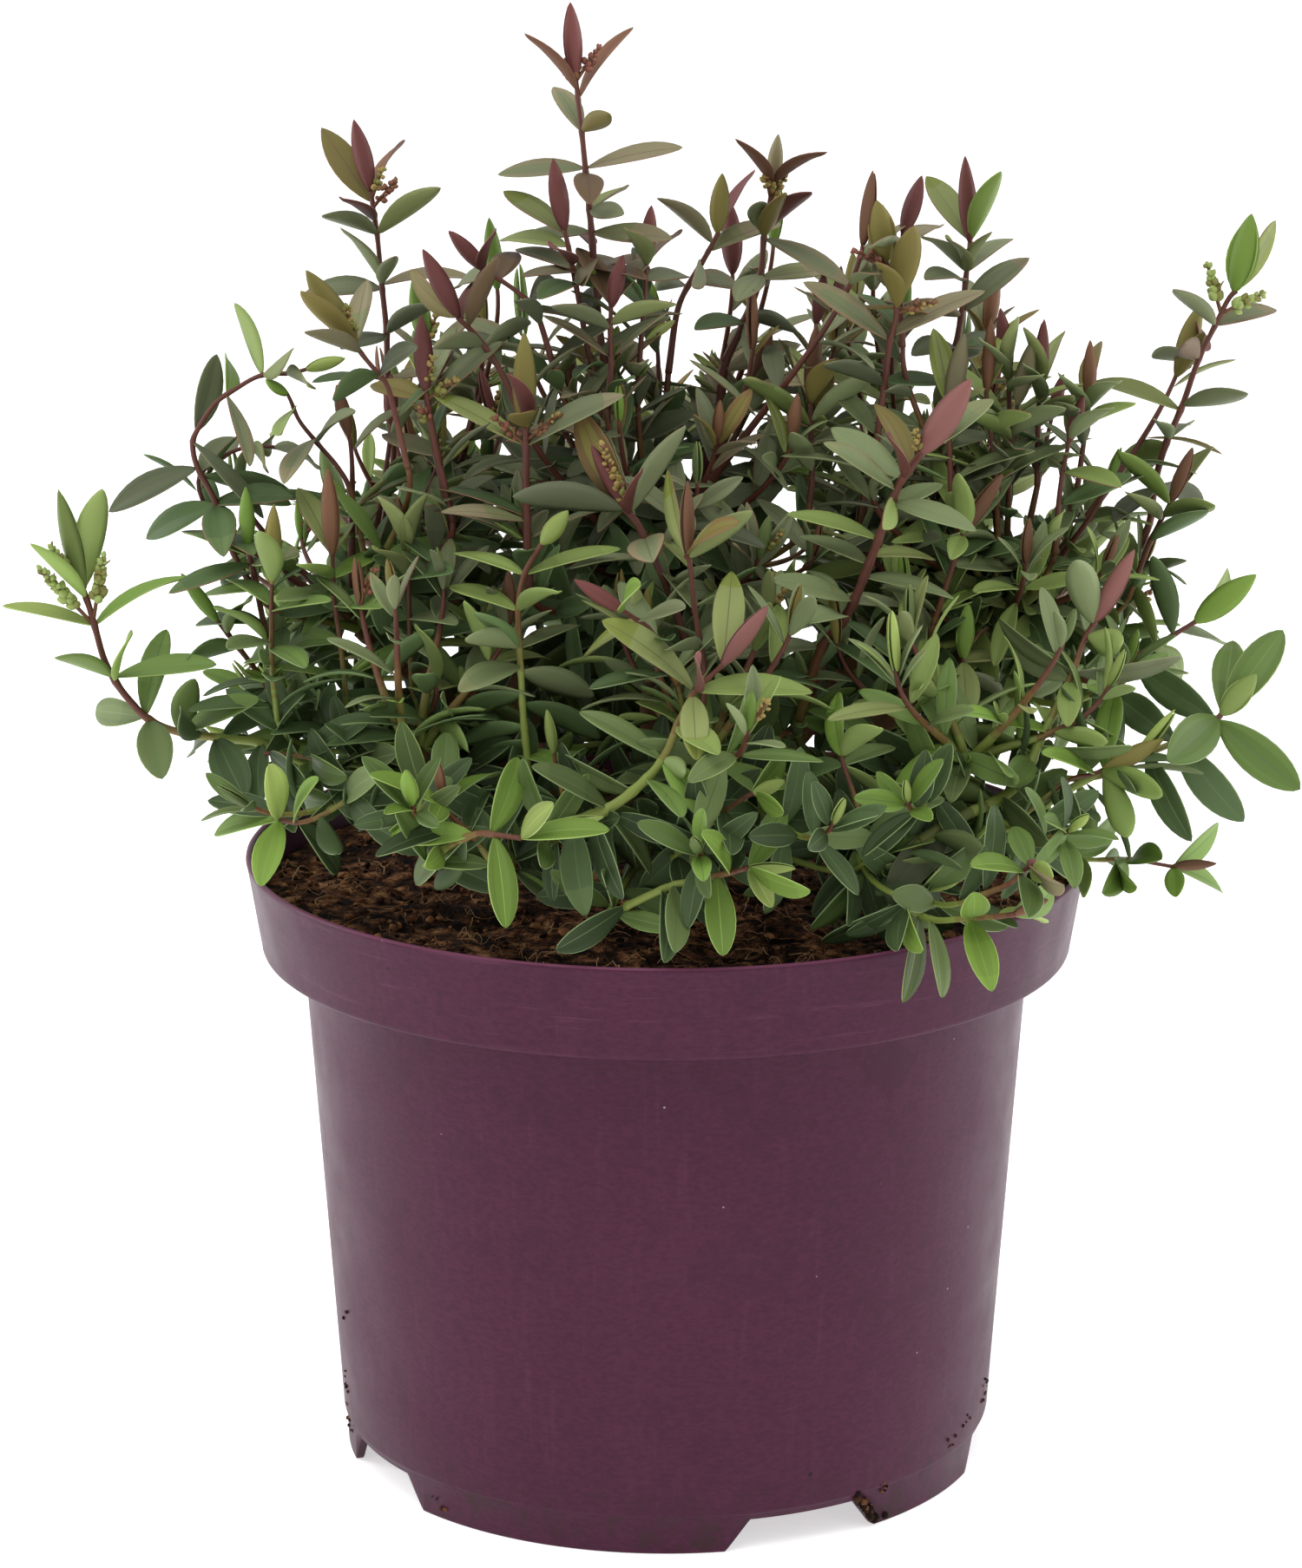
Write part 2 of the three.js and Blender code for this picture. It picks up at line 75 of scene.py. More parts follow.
def at_y(u, v, y):
    d = ray(u, v)
    return EYE + d * ((y - EYE[1]) / d[1])


def at_length(u, v, base, length, front):
    """Point on the sight line that is `length` from base, on its near or far side."""
    d = ray(u, v)
    oc = EYE - base
    b = float(d @ oc)
    disc = b * b - (float(oc @ oc) - length * length)
    if disc <= 0:
        return EYE + d * (-b)
    r = math.sqrt(disc)
    return EYE + d * (-b - r if front else -b + r)


def seen(p):
    """Place of a point in the 1500 by 1807 frame."""
    x, y, z = p - EYE
    f = y * CP - z * SP
    up = y * SP + z * CP
    return CU + FOCAL * x / f, CV - FOCAL * up / f


# ------------------------------------------------------------------ small maths
def unit(v):
    n = float(np.linalg.norm(v))
    return v / n if n > 1e-9 else np.array([0.0, 0.0, 1.0])


def across(v, axis):
    """Part of v at right angles to axis, as a unit vector."""
    w = v - axis * float(v @ axis)
    n = float(np.linalg.norm(w))
    if n < 1e-6:
        t = np.array([1.0, 0.0, 0.0]) if abs(axis[0]) < 0.9 else np.array([0.0, 1.0, 0.0])
        w = t - axis * float(t @ axis)
        n = float(np.linalg.norm(w))
    return w / n


def turn(v, axis, angle):
    c, s = math.cos(angle), math.sin(angle)
    return v * c + np.cross(axis, v) * s + axis * float(axis @ v) * (1 - c)


def smooth_path(points, step):
    """Catmull-Rom curve through the points, resampled at about `step` mm."""
    p = [np.asarray(q, float) for q in points]
    if len(p) == 2:
        p = [p[0], (p[0] + p[1]) / 2, p[1]]
    ext = [2 * p[0] - p[1]] + p + [2 * p[-1] - p[-2]]
    out = []
    for i in range(1, len(ext) - 2):
        a, b, c, d = ext[i - 1], ext[i], ext[i + 1], ext[i + 2]
        n = max(4, int(np.linalg.norm(c - b) / step) * 2)
        for k in range(n):
            t = k / n
            out.append(0.5 * (2 * b + (c - a) * t + (2 * a - 5 * b + 4 * c - d) * t * t + (3 * b - a - 3 * c + d) * t ** 3))
    out.append(ext[-2])
    out = np.array(out)
    seg = np.linalg.norm(np.diff(out, axis=0), axis=1)
    s = np.concatenate([[0], np.cumsum(seg)])
    n = max(3, int(round(s[-1] / step)) + 1)
    want = np.linspace(0, s[-1], n)
    return np.stack([np.interp(want, s, out[:, k]) for k in range(3)], axis=1), want


def tangents(path):
    t = np.gradient(path, axis=0)
    return t / np.maximum(np.linalg.norm(t, axis=1, keepdims=True), 1e-9)


# ------------------------------------------------------------------ finishes
def lin(c):
    c = c / 255.0
    return c / 12.92 if c <= 0.04045 else ((c + 0.055) / 1.055) ** 2.4


def rgb(r, g, b, k=1.0):
    return (min(1.0, lin(r) * k), min(1.0, lin(g) * k), min(1.0, lin(b) * k), 1.0)


def plain(name, colour, rough=0.5, spec=0.4, sheen=0.0, coat=0.0):
    m = bpy.data.materials.new(name)
    m.use_nodes = True
    s = m.node_tree.nodes["Principled BSDF"]
    s.inputs["Base Color"].default_value = colour
    s.inputs["Roughness"].default_value = rough
    s.inputs["Specular IOR Level"].default_value = spec
    s.inputs["Coat Weight"].default_value = coat
    m.diffuse_color = colour
    return m


# Tints of the leaves: upper face, under face, margin, midrib.
TINTS = {
    "D": ((69, 87, 52), (87, 108, 66), (102, 126, 76), (75, 98, 55)),
    "G": ((92, 107, 63), (117, 133, 82), (136, 153, 92), (108, 125, 72)),
    "E": ((90, 112, 56), (108, 129, 70), (132, 152, 84), (102, 124, 62)),
    "H": ((106, 113, 83), (114, 122, 88), (126, 130, 94), (104, 106, 76)),
    "M": ((101, 128, 54), (120, 142, 73), (142, 166, 86), (113, 138, 64)),
    "N": ((117, 126, 76), (124, 133, 84), (130, 130, 80), (106, 106, 64)),
    "B": ((103, 129, 53), (124, 148, 73), (148, 174, 92), (120, 148, 66)),
    "C": ((109, 125, 67), (122, 139, 78), (146, 164, 92), (120, 138, 74)),
    "Y": ((134, 150, 80), (144, 164, 89), (164, 186, 108), (146, 168, 89)),
    "O": ((116, 108, 56), (124, 116, 64), (130, 100, 60), (108, 80, 50)),
    "P": ((99, 57, 54), (95, 55, 52), (120, 78, 68), (78, 42, 43)),
    "Q": ((121, 80, 75), (114, 75, 70), (134, 99, 86), (92, 54, 55)),
    "V": ((120, 113, 86), (122, 116, 88), (130, 108, 86), (104, 88, 70)),
    "U": ((97, 78, 57), (102, 84, 62), (118, 88, 70), (86, 60, 50)),
    "J": ((105, 96, 52), (115, 105, 56), (126, 94, 56), (100, 72, 46)),
    "R": ((107, 75, 55), (106, 73, 56), (124, 89, 66), (86, 53, 44)),
    "I": ((77, 84, 61), (92, 98, 74), (112, 112, 84), (84, 82, 60)),
    "L": ((97, 108, 73), (115, 126, 88), (132, 144, 98), (107, 117, 80)),
}
# Brightness steps of each tint: picked at random, and shifted by where the leaf grows to paint shade low in the crown
# and light higher up
SHADES = (0.50, 0.61, 0.73, 0.86, 1.00, 1.14, 1.28, 1.42)
# Halfway tints, for leaves that change from their foot to their tip.
BLENDS = {"X": ("G", "V"), "Z": ("O", "R"), "W": ("M", "O"), "K": ("D", "G")}
for key, (one, two) in BLENDS.items():
    TINTS[key] = tuple(tuple((p + q) / 2 for p, q in zip(c, d)) for c, d in zip(TINTS[one], TINTS[two]))
GRADES = {"G": "GGX", "L": "LLX", "H": "HHV", "O": "OOZ", "M": "MMW", "N": "NNW", "D": "DDK", "E": "EEG", "V": "XVV"}
MATS = []
MAT_ID = {}


def register(key, mat):
    MAT_ID[key] = len(MATS)
    MATS.append(mat)


for key, (top, under, edge, rib) in TINTS.items():
    gloss = 0.5 if key in "DGEMKX" else 0.54
    for i, k in enumerate(SHADES):
        register((key, "top", i), plain(f"leaf_{key}_top_{i}", rgb(*top, k), gloss, 0.2))
    for i, k in enumerate((0.62, 0.85, 1.08, 1.32)):
        register((key, "under", i), plain(f"leaf_{key}_under_{i}", rgb(*under, k), 0.6, 0.25))
    register((key, "edge"), plain(f"leaf_{key}_edge", rgb(*edge), 0.5, 0.3))
    register((key, "rib"), plain(f"leaf_{key}_rib", rgb(*rib), 0.5, 0.35))

STEM_RAMP = [(90, 49, 38), (95, 55, 40), (102, 66, 41), (110, 80, 44), (114, 94, 48), (120, 116, 56), (124, 138, 64), (92, 100, 48), (72, 64, 42)]
register(("pale", "edge"), plain("leaf_pale_edge", rgb(124, 143, 96), 0.55, 0.3))
register(("pale", "rib"), plain("leaf_pale_rib", rgb(84, 105, 62), 0.55, 0.3))
for i, c in enumerate(STEM_RAMP):
    register(("stem", i), plain(f"stem_{i}", rgb(*c), 0.5, 0.35))
for key, c in (("bud_green", (122, 122, 64)), ("bud_fresh", (146, 162, 92)), ("bud_yellow", (150, 130, 74)), ("bud_brown", (116, 80, 54)), ("bud_pink", (124, 76, 62))):
    register(key, plain(key, rgb(*c), 0.55, 0.3))


# ------------------------------------------------------------------ mesh gathering
class Soup:
    """Vertices and faces of many small closed shapes, joined into one mesh."""

    def __init__(self):
        self.v, self.q, self.qm, self.t, self.tm, self.n = [], [], [], [], [], 0

    def add(self, v, q, qm, t, tm):
        self.v.append(v)
        if len(q):
            self.q.append(q + self.n)
            self.qm.append(qm)
        if len(t):
            self.t.append(t + self.n)
            self.tm.append(tm)
        self.n += len(v)

    def triangles(self):
        return 2 * sum(len(q) for q in self.q) + sum(len(t) for t in self.t)

    def build(self, name, smooth=True):
        v = np.concatenate(self.v) * MM
        q = np.concatenate(self.q) if self.q else np.zeros((0, 4), int)
        t = np.concatenate(self.t) if self.t else np.zeros((0, 3), int)
        qm = np.concatenate(self.qm) if self.q else np.zeros(0, int)
        tm = np.concatenate(self.tm) if self.t else np.zeros(0, int)
        used = sorted(set(qm.tolist()) | set(tm.tolist()))
        back = np.zeros(len(MATS), int)
        me = bpy.data.meshes.new(name)
        for i, k in enumerate(used):
            back[k] = i
            me.materials.append(MATS[k])
        me.vertices.add(len(v))
        me.vertices.foreach_set("co", v.astype(np.float32).ravel())
        me.loops.add(q.size + t.size)
        me.loops.foreach_set("vertex_index", np.concatenate([q.ravel(), t.ravel()]).astype(np.int32))
        me.polygons.add(len(q) + len(t))
        start = np.concatenate([np.arange(len(q)) * 4, q.size + np.arange(len(t)) * 3])
        me.polygons.foreach_set("loop_start", start.astype(np.int32))
        me.polygons.foreach_set("material_index", np.concatenate([back[qm], back[tm]]).astype(np.int32))
        me.polygons.foreach_set("use_smooth", np.full(len(q) + len(t), smooth))
        me.update(calc_edges=True)
        me.validate()
        ob = bpy.data.objects.new(name, me)
        bpy.context.scene.collection.objects.link(ob)
        return ob


# ------------------------------------------------------------------ leaves
def leaf_template(rows, top, under):
    """Faces of a closed leaf: rows with `top` columns above and `under` inner ones below."""
    nt, nu = len(top), len(under)
    per = nt + nu
    quads, qc, tris, tc = [], [], [], []

    def up(i, j):
        return 1 + (i - 1) * per + j

    def dn(i, j):
        if j == 0:
            return up(i, 0)
        if j == nu + 1:
            return up(i, nt - 1)
        return 1 + (i - 1) * per + nt + j - 1

    last = rows - 1
    tip = 1 + (last - 1) * per
    cats = []
    for j in range(nt - 1):
        mid = (top[j] + top[j + 1]) / 2
        cats.append(1 if abs(mid) > 0.92 else (2 if abs(mid) < 0.05 else (4 if abs(mid) > 0.6 else 0)))
    for i in range(1, last - 1):
        for j in range(nt - 1):
            quads.append((up(i, j), up(i + 1, j), up(i + 1, j + 1), up(i, j + 1)))
            qc.append((cats[j], i))
        for j in range(nu + 1):
            quads.append((dn(i, j), dn(i, j + 1), dn(i + 1, j + 1), dn(i + 1, j)))
            qc.append((3, i))
    for j in range(nt - 1):
        tris.append((0, up(1, j), up(1, j + 1)))
        tc.append((cats[j], 0))
        tris.append((up(last - 1, j), tip, up(last - 1, j + 1)))
        tc.append((cats[j], last - 1))
    for j in range(nu + 1):
        tris.append((0, dn(1, j + 1), dn(1, j)))
        tc.append((3, 0))
        tris.append((dn(last - 1, j), dn(last - 1, j + 1), tip))
        tc.append((3, last - 1))
    return dict(rows=rows, top=np.array(top), under=np.array(under), q=np.array(quads), qc=np.array(qc), t=np.array(tris), tc=np.array(tc))


FINE = leaf_template(12, [-1, -0.938, -0.52, -0.04, 0.04, 0.52, 0.938, 1], [-0.55, 0, 0.55])
FINE["ts"] = np.array([0, 0.05, 0.13, 0.24, 0.36, 0.48, 0.6, 0.71, 0.81, 0.9, 0.965, 1.0])
GOOD = leaf_template(10, [-1, -0.925, -0.5, -0.043, 0.043, 0.5, 0.925, 1], [-0.5, 0.5])
GOOD["ts"] = np.array([0, 0.055, 0.155, 0.3, 0.45, 0.6, 0.74, 0.86, 0.95, 1.0])
MIDDLE = leaf_template(9, [-1, -0.91, -0.045, 0.045, 0.91, 1], [-0.5, 0.5])
MIDDLE["ts"] = np.array([0, 0.07, 0.2, 0.36, 0.52, 0.68, 0.83, 0.94, 1.0])


def outline(t, p=0.92, q=0.86):
    k = p / (p + q)
    peak = k ** p * (1 - k) ** q
    return np.maximum(t, 1e-6) ** p * np.maximum(1 - t, 0) ** q / peak


def add_leaf(soup, base, tip, up, width, tint, arch=0.05, cup=0.12, fold=0.1, twist=0.0, thick=0.42,
             form=FINE, grade=None, both=False, p=0.86, q=0.76, wave=0.0, rim=None, painted_shade=0, flank=None):
    c = tip - base
    length = float(np.linalg.norm(c))
    if length < 1.0:
        return
    c = c / length
    n = across(up, c)
    ts = form["ts"]
    inner = ts[1:-1]
    lift = 4 * ts * (1 - ts) * arch * length
    bend = 4 * (1 - 2 * ts) * arch
    spine = base + np.outer(ts * length, c) + np.outer(lift, n)
    tan = c[None, :] + bend[:, None] * n[None, :]
    tan /= np.linalg.norm(tan, axis=1, keepdims=True)
    nor = n[None, :] - tan * (tan @ n)[:, None]
    nor /= np.linalg.norm(nor, axis=1, keepdims=True)
    side = np.cross(nor, tan)
    if twist:
        a = twist * (ts - 0.15)
        ca, sa = np.cos(a)[:, None], np.sin(a)[:, None]
        side, nor = side * ca + nor * sa, nor * ca - side * sa
    half = width / 2 * outline(ts, p, q)
    half = np.maximum(half, 0.28 * np.minimum(1, (1 - ts) * 20))
    h = half[1:-1, None]
    S, N, C = side[1:-1, None, :], nor[1:-1, None, :], spine[1:-1, None, :]
    tq = form["top"][None, :]
    rise = cup * h * tq ** 2 + fold * h * np.abs(tq)
    if wave:
        rise = rise + wave * h * np.abs(tq) * np.sin(inner[:, None] * 9.0 + 2.0 * np.sign(tq))
    groove = np.where(np.abs(tq) < 0.1, -0.07, 0.0)
    edge = np.where(np.abs(tq) > 0.99, -thick * 0.45, 0.0)
    top = C + S * (tq * h)[..., None] + N * (rise + groove + edge)[..., None]
    uq = form["under"][None, :]
    rise_u = cup * h * uq ** 2 + fold * h * np.abs(uq)
    body = thick * (0.75 + 0.25 * (1 - np.abs(uq)))
    body = body * np.minimum(1.0, h / 1.0) + np.where(np.abs(uq) < 0.1, 0.12, 0.0)
    under = C + S * (uq * h)[..., None] + N * (rise_u - body)[..., None]
    rows = np.concatenate([top, under], axis=1).reshape(-1, 3)
    v = np.concatenate([spine[:1], rows, spine[-1:]])
    # a positive painted shade step makes the leaf darker, painted shade; a negative one makes it lighter, painted
    # light; the under face follows it
    shade = rnd.randrange(3, 7) - painted_shade
    slope = rnd.choice((-1, 0, 1, 1, 2))
    outer = rnd.choice((-1, 0, 0, 1))
    ush = rnd.randrange(0, 2) if painted_shade > 0 else rnd.randrange(1, 3) if painted_shade == 0 else rnd.randrange(1, 4)
    rim = rim or tint
    grade = grade or tint * 3
    turn_at = (rnd.uniform(0.3, 0.5), rnd.uniform(0.64, 0.8))

    def ids(cat):
        out = np.zeros(len(cat), int)
        t = ts[cat[:, 1]]
        third = (t > turn_at[0]).astype(int) + (t > turn_at[1])
        step = np.clip(shade + np.round(slope * (t - 0.5)).astype(int), 0, 7)
        for g in range(3):
            for k in range(8):
                here = (third == g) & (step == k)
                if here.any():
                    out[here & (cat[:, 0] == 0)] = MAT_ID[(grade[g], "top", k)]
                    out[here & (cat[:, 0] == 4)] = MAT_ID[(flank or grade[g], "top", min(7, max(0, k + outer)))]
        out[cat[:, 0] == 1] = MAT_ID[(rim, "edge")]
        out[cat[:, 0] == 2] = MAT_ID[(rim if rim == "pale" else tint, "rib")]
        out[cat[:, 0] == 3] = MAT_ID[(tint, "top", shade)] if both else MAT_ID[(tint, "under", ush)]
        return out

    soup.add(v, form["q"], ids(form["qc"]), form["t"], ids(form["tc"]))


# ------------------------------------------------------------------ tubes
def add_tube(soup, path, radii, sides, mats, relief=None, phase=0.0):
    """Closed tube along a path. mats is one id or one for each ring; relief(i, angle) scales the radius."""
    path = np.asarray(path, float)
    n = len(path)
    t = tangents(path)
    u = np.zeros_like(path)
    u[0] = across(np.array([0.3, 1.0, 0.1]), t[0])
    for i in range(1, n):
        u[i] = across(u[i - 1], t[i])
    w = np.cross(t, u)
    a = np.arange(sides) / sides * 2 * math.pi + phase
    r = np.asarray(radii, float)[:, None] * np.ones((1, sides))
    if relief is not None:
        r = r * relief(n, sides)
    ring = path[:, None, :] + r[..., None] * (np.cos(a)[None, :, None] * u[:, None, :] + np.sin(a)[None, :, None] * w[:, None, :])
    v = np.concatenate([ring.reshape(-1, 3), path[:1] - t[:1] * r[0, 0] * 0.3, path[-1:] + t[-1:] * r[-1, 0] * 0.5])
    i = np.arange(n - 1)[:, None]
    j = np.arange(sides)[None, :]
    k = (j + 1) % sides
    q = np.stack([i * sides + j, i * sides + k, (i + 1) * sides + k, (i + 1) * sides + j], axis=-1).reshape(-1, 4)
    jj = np.arange(sides)
    kk = (jj + 1) % sides
    a0, a1 = n * sides, n * sides + 1
    tri = np.concatenate([np.stack([np.full(sides, a0), kk, jj], 1), np.stack([np.full(sides, a1), (n - 1) * sides + jj, (n - 1) * sides + kk], 1)])
    if np.ndim(mats) == 0:
        qm = np.full(len(q), int(mats))
        tm = np.full(len(tri), int(mats))
    else:
        mats = np.asarray(mats, int)
        qm = np.repeat(mats[: n - 1], sides)
        tm = np.concatenate([np.full(sides, mats[0]), np.full(sides, mats[-1])])
    soup.add(v, q, qm, tri, tm)


_t = (1 + 5 ** 0.5) / 2
ICO_V = np.array([(-1, _t, 0), (1, _t, 0), (-1, -_t, 0), (1, -_t, 0), (0, -1, _t), (0, 1, _t), (0, -1, -_t), (0, 1, -_t), (_t, 0, -1), (_t, 0, 1), (-_t, 0, -1), (-_t, 0, 1)]) / math.sqrt(1 + _t * _t)
ICO_F = np.array([(0, 11, 5), (0, 5, 1), (0, 1, 7), (0, 7, 10), (0, 10, 11), (1, 5, 9), (5, 11, 4), (11, 10, 2), (10, 7, 6), (7, 1, 8), (3, 9, 4), (3, 4, 2), (3, 2, 6), (3, 6, 8), (3, 8, 9), (4, 9, 5), (2, 4, 11), (6, 2, 10), (8, 6, 7), (9, 8, 1)])


def finer(v, f):
    v = [tuple(p) for p in v]
    seen_mid = {}

    def mid(a, b):
        k = (min(a, b), max(a, b))
        if k not in seen_mid:
            m = np.array(v[a]) + np.array(v[b])
            v.append(tuple(m / np.linalg.norm(m)))
            seen_mid[k] = len(v) - 1
        return seen_mid[k]

    out = []
    for a, b, c in f:
        ab, bc, ca = mid(a, b), mid(b, c), mid(c, a)
        out += [(a, ab, ca), (b, bc, ab), (c, ca, bc), (ab, bc, ca)]
    return np.array(v), np.array(out)


BALL_V, BALL_F = finer(ICO_V, ICO_F)


def add_drop(soup, centre, axis, length, radius, mat, fine=True):
    """Small egg-shaped bud, pointed at its far end."""
    v0, f0 = (BALL_V, BALL_F) if fine else (ICO_V, ICO_F)
    u = across(np.array([0.2, 0.9, 0.4]), axis)
    w = np.cross(axis, u)
    z = v0[:, 2]
    taper = 1 - 0.35 * np.clip(z, 0, 1)
    v = centre + np.outer(v0[:, 0] * taper * radius, u) + np.outer(v0[:, 1] * taper * radius, w) + np.outer(z * length / 2, axis)
    soup.add(v, np.zeros((0, 4), int), np.zeros(0, int), f0, np.full(len(f0), mat))


# ------------------------------------------------------------------ the woody frame
SOIL_Z = 118.0
STEM_TOP, LEAN = 134.0, np.array([-2.0, 0.6, 0.0])
MASSES = {
    "foliage_centre": ((-2, 6, 175), (46, 40, 48)),
    "foliage_front": ((6, -54, 156), (42, 37, 34)),
    "foliage_front_left": ((-50, -46, 158), (38, 36, 34)),
    "foliage_left": ((-61, -4, 172), (32, 38, 36)),
    "foliage_back_left": ((-46, 44, 168), (38, 38, 38)),
    "foliage_back": ((2, 56, 165), (40, 37, 40)),
    "foliage_back_right": ((50, 44, 166), (38, 38, 38)),
    "foliage_right": ((66, 2, 170), (36, 38, 37)),
    "foliage_front_right": ((58, -46, 155), (37, 35, 33)),
    "shoots_leader": ((-15, 0, 261), (18, 15, 35)),
    "shoots_top_left": ((-58, 12, 244.5), (15, 14, 27)),
    "shoots_upper_left": ((-37, -16, 227), (16, 14, 25)),
    "shoots_left_lean": ((-71, -24, 226), (13, 13, 21)),
    "shoots_left_curl": ((-94, -8, 207), (17, 14, 18)),
    "shoots_top_middle": ((14, 15, 242.5), (17, 15, 25)),
    "shoots_middle_right": ((38, -14, 240), (14, 14, 24)),
    "shoots_front_red": ((46, -40, 206), (16, 14, 22)),
    "shoots_top_right": ((63, 18, 239), (13, 13, 25)),
    "shoots_right": ((79, -8, 218), (17, 16, 21)),
    "shoots_right_arm": ((109, 10, 226), (17, 15, 29)),
    "shoots_right_middle": ((108, -8, 182), (15, 13, 12)),
    "shoots_right_low": ((110, -34, 160), (17, 16, 20)),
    "shoots_right_under": ((100, -26, 133), (15, 12, 7)),
    "shoots_rim_right": ((50, -88, 131), (14, 8, 10)),
    "shoots_left_tip": ((-108, -28, 191), (18, 15, 21)),
    "shoots_left_low": ((-90, -40, 152), (22, 16, 12)),
    "shoots_back_peak": ((22, 42, 230), (15, 14, 26)),
    "shoots_back_left_peak": ((-42, 42, 224), (15, 14, 22)),
    "shoots_back_right_peak": ((66, 40, 214), (14, 13, 22)),
    "shoots_back_low": ((-18, 88, 150), (22, 9, 15)),
    "shoots_inner_left": ((-34, 24, 225), (17, 14, 24)),
    "shoots_inner_right": ((42, 26, 228), (16, 14, 23)),
}
MASSES = {k: (np.array(c, float), np.array(r, float)) for k, (c, r) in MASSES.items()}
BOUGHS = {
    "bough_centre": ("foliage_centre", 132, 3.4, 2.2, 0),
    "bough_front": ("foliage_front", 127, 2.8, 1.7, -5),
    "bough_front_left": ("foliage_front_left", 128, 2.8, 1.7, -6),
    "bough_left": ("foliage_left", 130, 3.0, 1.8, -8),
    "bough_back_left": ("foliage_back_left", 129, 2.8, 1.7, -7),
    "bough_back": ("foliage_back", 127, 2.8, 1.7, -6),
    "bough_back_right": ("foliage_back_right", 128, 2.8, 1.7, -7),
    "bough_right": ("foliage_right", 130, 3.0, 1.8, -8),
    "bough_front_right": ("foliage_front_right", 129, 2.8, 1.7, -6),
}
NEAR_BOUGHS = {
    "shoots_leader": "centre", "shoots_top_left": "left centre", "shoots_upper_left": "centre left", "shoots_left_lean": "left",
    "shoots_left_curl": "left", "shoots_top_middle": "centre", "shoots_middle_right": "centre right", "shoots_front_red": "front_right right",
    "shoots_top_right": "right centre", "shoots_right": "right", "shoots_right_arm": "right", "shoots_right_middle": "right",
    "shoots_right_low": "front_right right", "shoots_right_under": "front_right", "shoots_rim_right": "front_right front",
    "shoots_left_tip": "front_left left", "shoots_left_low": "front_left", "shoots_back_peak": "back", "shoots_back_left_peak": "back_left",
    "shoots_back_right_peak": "back_right", "shoots_back_low": "back",
    "shoots_inner_left": "centre back_left", "shoots_inner_right": "centre back_right",
}

leaves = {m: Soup() for m in MASSES}
twigs = {m: Soup() for m in MASSES}
buds = {m: Soup() for m in MASSES}
wood = Soup()

BARK = [plain("bark_old", rgb(104, 78, 56), 0.85, 0.2), plain("bark_mid", rgb(120, 88, 60), 0.8, 0.2), plain("bark_scar", rgb(150, 122, 88), 0.8, 0.2)]
for i, m in enumerate(BARK):
    register(("bark", i), m)

bough_paths = {}
for name, (mass, z0, r0, r1, bow) in BOUGHS.items():
    t = (z0 - SOIL_Z) / (STEM_TOP - SOIL_Z)
    start = LEAN * t + np.array([0, 0, z0])
    end = MASSES[mass][0].copy()
    mid = (start + end) / 2 + np.array([0, 0, bow])
    side = across(np.array([0.3, 0.4, 0.2]), unit(end - start))
    wig = [start, start + (mid - start) * 0.5 + side * 0.8, mid - side * 0.9, mid + (end - mid) * 0.5 + side * 1.2, end]
    path, s = smooth_path(wig, 0.7)
    bough_paths[name] = (path, s, np.linspace(r0, r1, len(path)))


def bark_relief(seed, depth, scar_gap):
    def relief(n, sides):
        out = np.ones((n, sides))
        for i in range(n):
            ring = math.exp(-(((i % scar_gap) / 1.6) ** 2)) * 0.10
            for j in range(sides):
                a = j / sides * 2 * math.pi
                f = noise.noise(Vector((math.cos(a) * 2.2 + seed, math.sin(a) * 2.2, i * 0.10)))
                g = noise.noise(Vector((math.cos(a) * 5.0, math.sin(a) * 5.0 + seed, i * 0.22)))
                out[i, j] = 1 + depth * (f + 0.5 * g) + ring
        return out
    return relief


for k, (name, (path, s, rad)) in enumerate(bough_paths.items()):
    ids = [MAT_ID[("bark", 2 if (i % 13) < 1 else (0 if (i // 9) % 3 else 1))] for i in range(len(path))]
    add_tube(wood, path, rad, 14, ids, bark_relief(k * 3.1, 0.16, 13))
foot = SOIL_Z + 0.3
zs = np.linspace(foot, STEM_TOP, 44)
tt = (zs - foot) / (STEM_TOP - foot)
stem_path = np.stack([LEAN[0] * tt, LEAN[1] * tt, zs], axis=1)
stem_r = np.interp(zs - foot, [0, 1.2, 2.6, 6.5, 14.5, 15.7], [7.0, 6.5, 5.9, 4.9, 3.9, 2.6])
add_tube(wood, stem_path, stem_r, 28, [MAT_ID[("bark", (i // 6) % 2)] for i in range(len(zs))], bark_relief(40.0, 0.13, 17))


def attach(mass, point, down):
    """Best place on the boughs for a branch that ends at point, with its slope there."""
    names = ["bough_" + n for n in NEAR_BOUGHS.get(mass, mass.replace("foliage_", "")).split()]
    best = None
    for name in names:
        path, s, rad = bough_paths[name]
        tan = tangents(path)
        for f in np.linspace(0.22, 0.97, 16):
            i = int(f * (len(path) - 1))
            p = path[i]
            d = float(np.linalg.norm(point - p))
            rise = point[2] - p[2]
            cost = d + max(0.0, 6 - rise) * 2.5 + rnd.random() * 5
            if best is None or cost < best[0]:
                best = (cost, p, tan[i], rad[i])
    return best[1], best[2], best[3]


def bezier(a, b, c, d, n):
    t = np.linspace(0, 1, n)[:, None]
    return a * (1 - t) ** 3 + 3 * b * t * (1 - t) ** 2 + 3 * c * t * t * (1 - t) + d * t ** 3


def clear_of_pot(tip, base):
    """Lifts a leaf's tip that would go into the growing medium or through the rim."""
    tip = tip.copy()
    r = math.hypot(tip[0], tip[1])
    rb = math.hypot(base[0], base[1])
    if r < 86.5 and rb < 84.5:
        low = SOIL_Z + 2.2
        if r > 79.5:
            low = 127.3
        if tip[2] < low:
            tip[2] = low
    elif r < 86.5 and tip[2] < 127.3:
        tip[2] = 127.3
    return tip


def pick(palette):
    return palette[rnd.randrange(len(palette))]


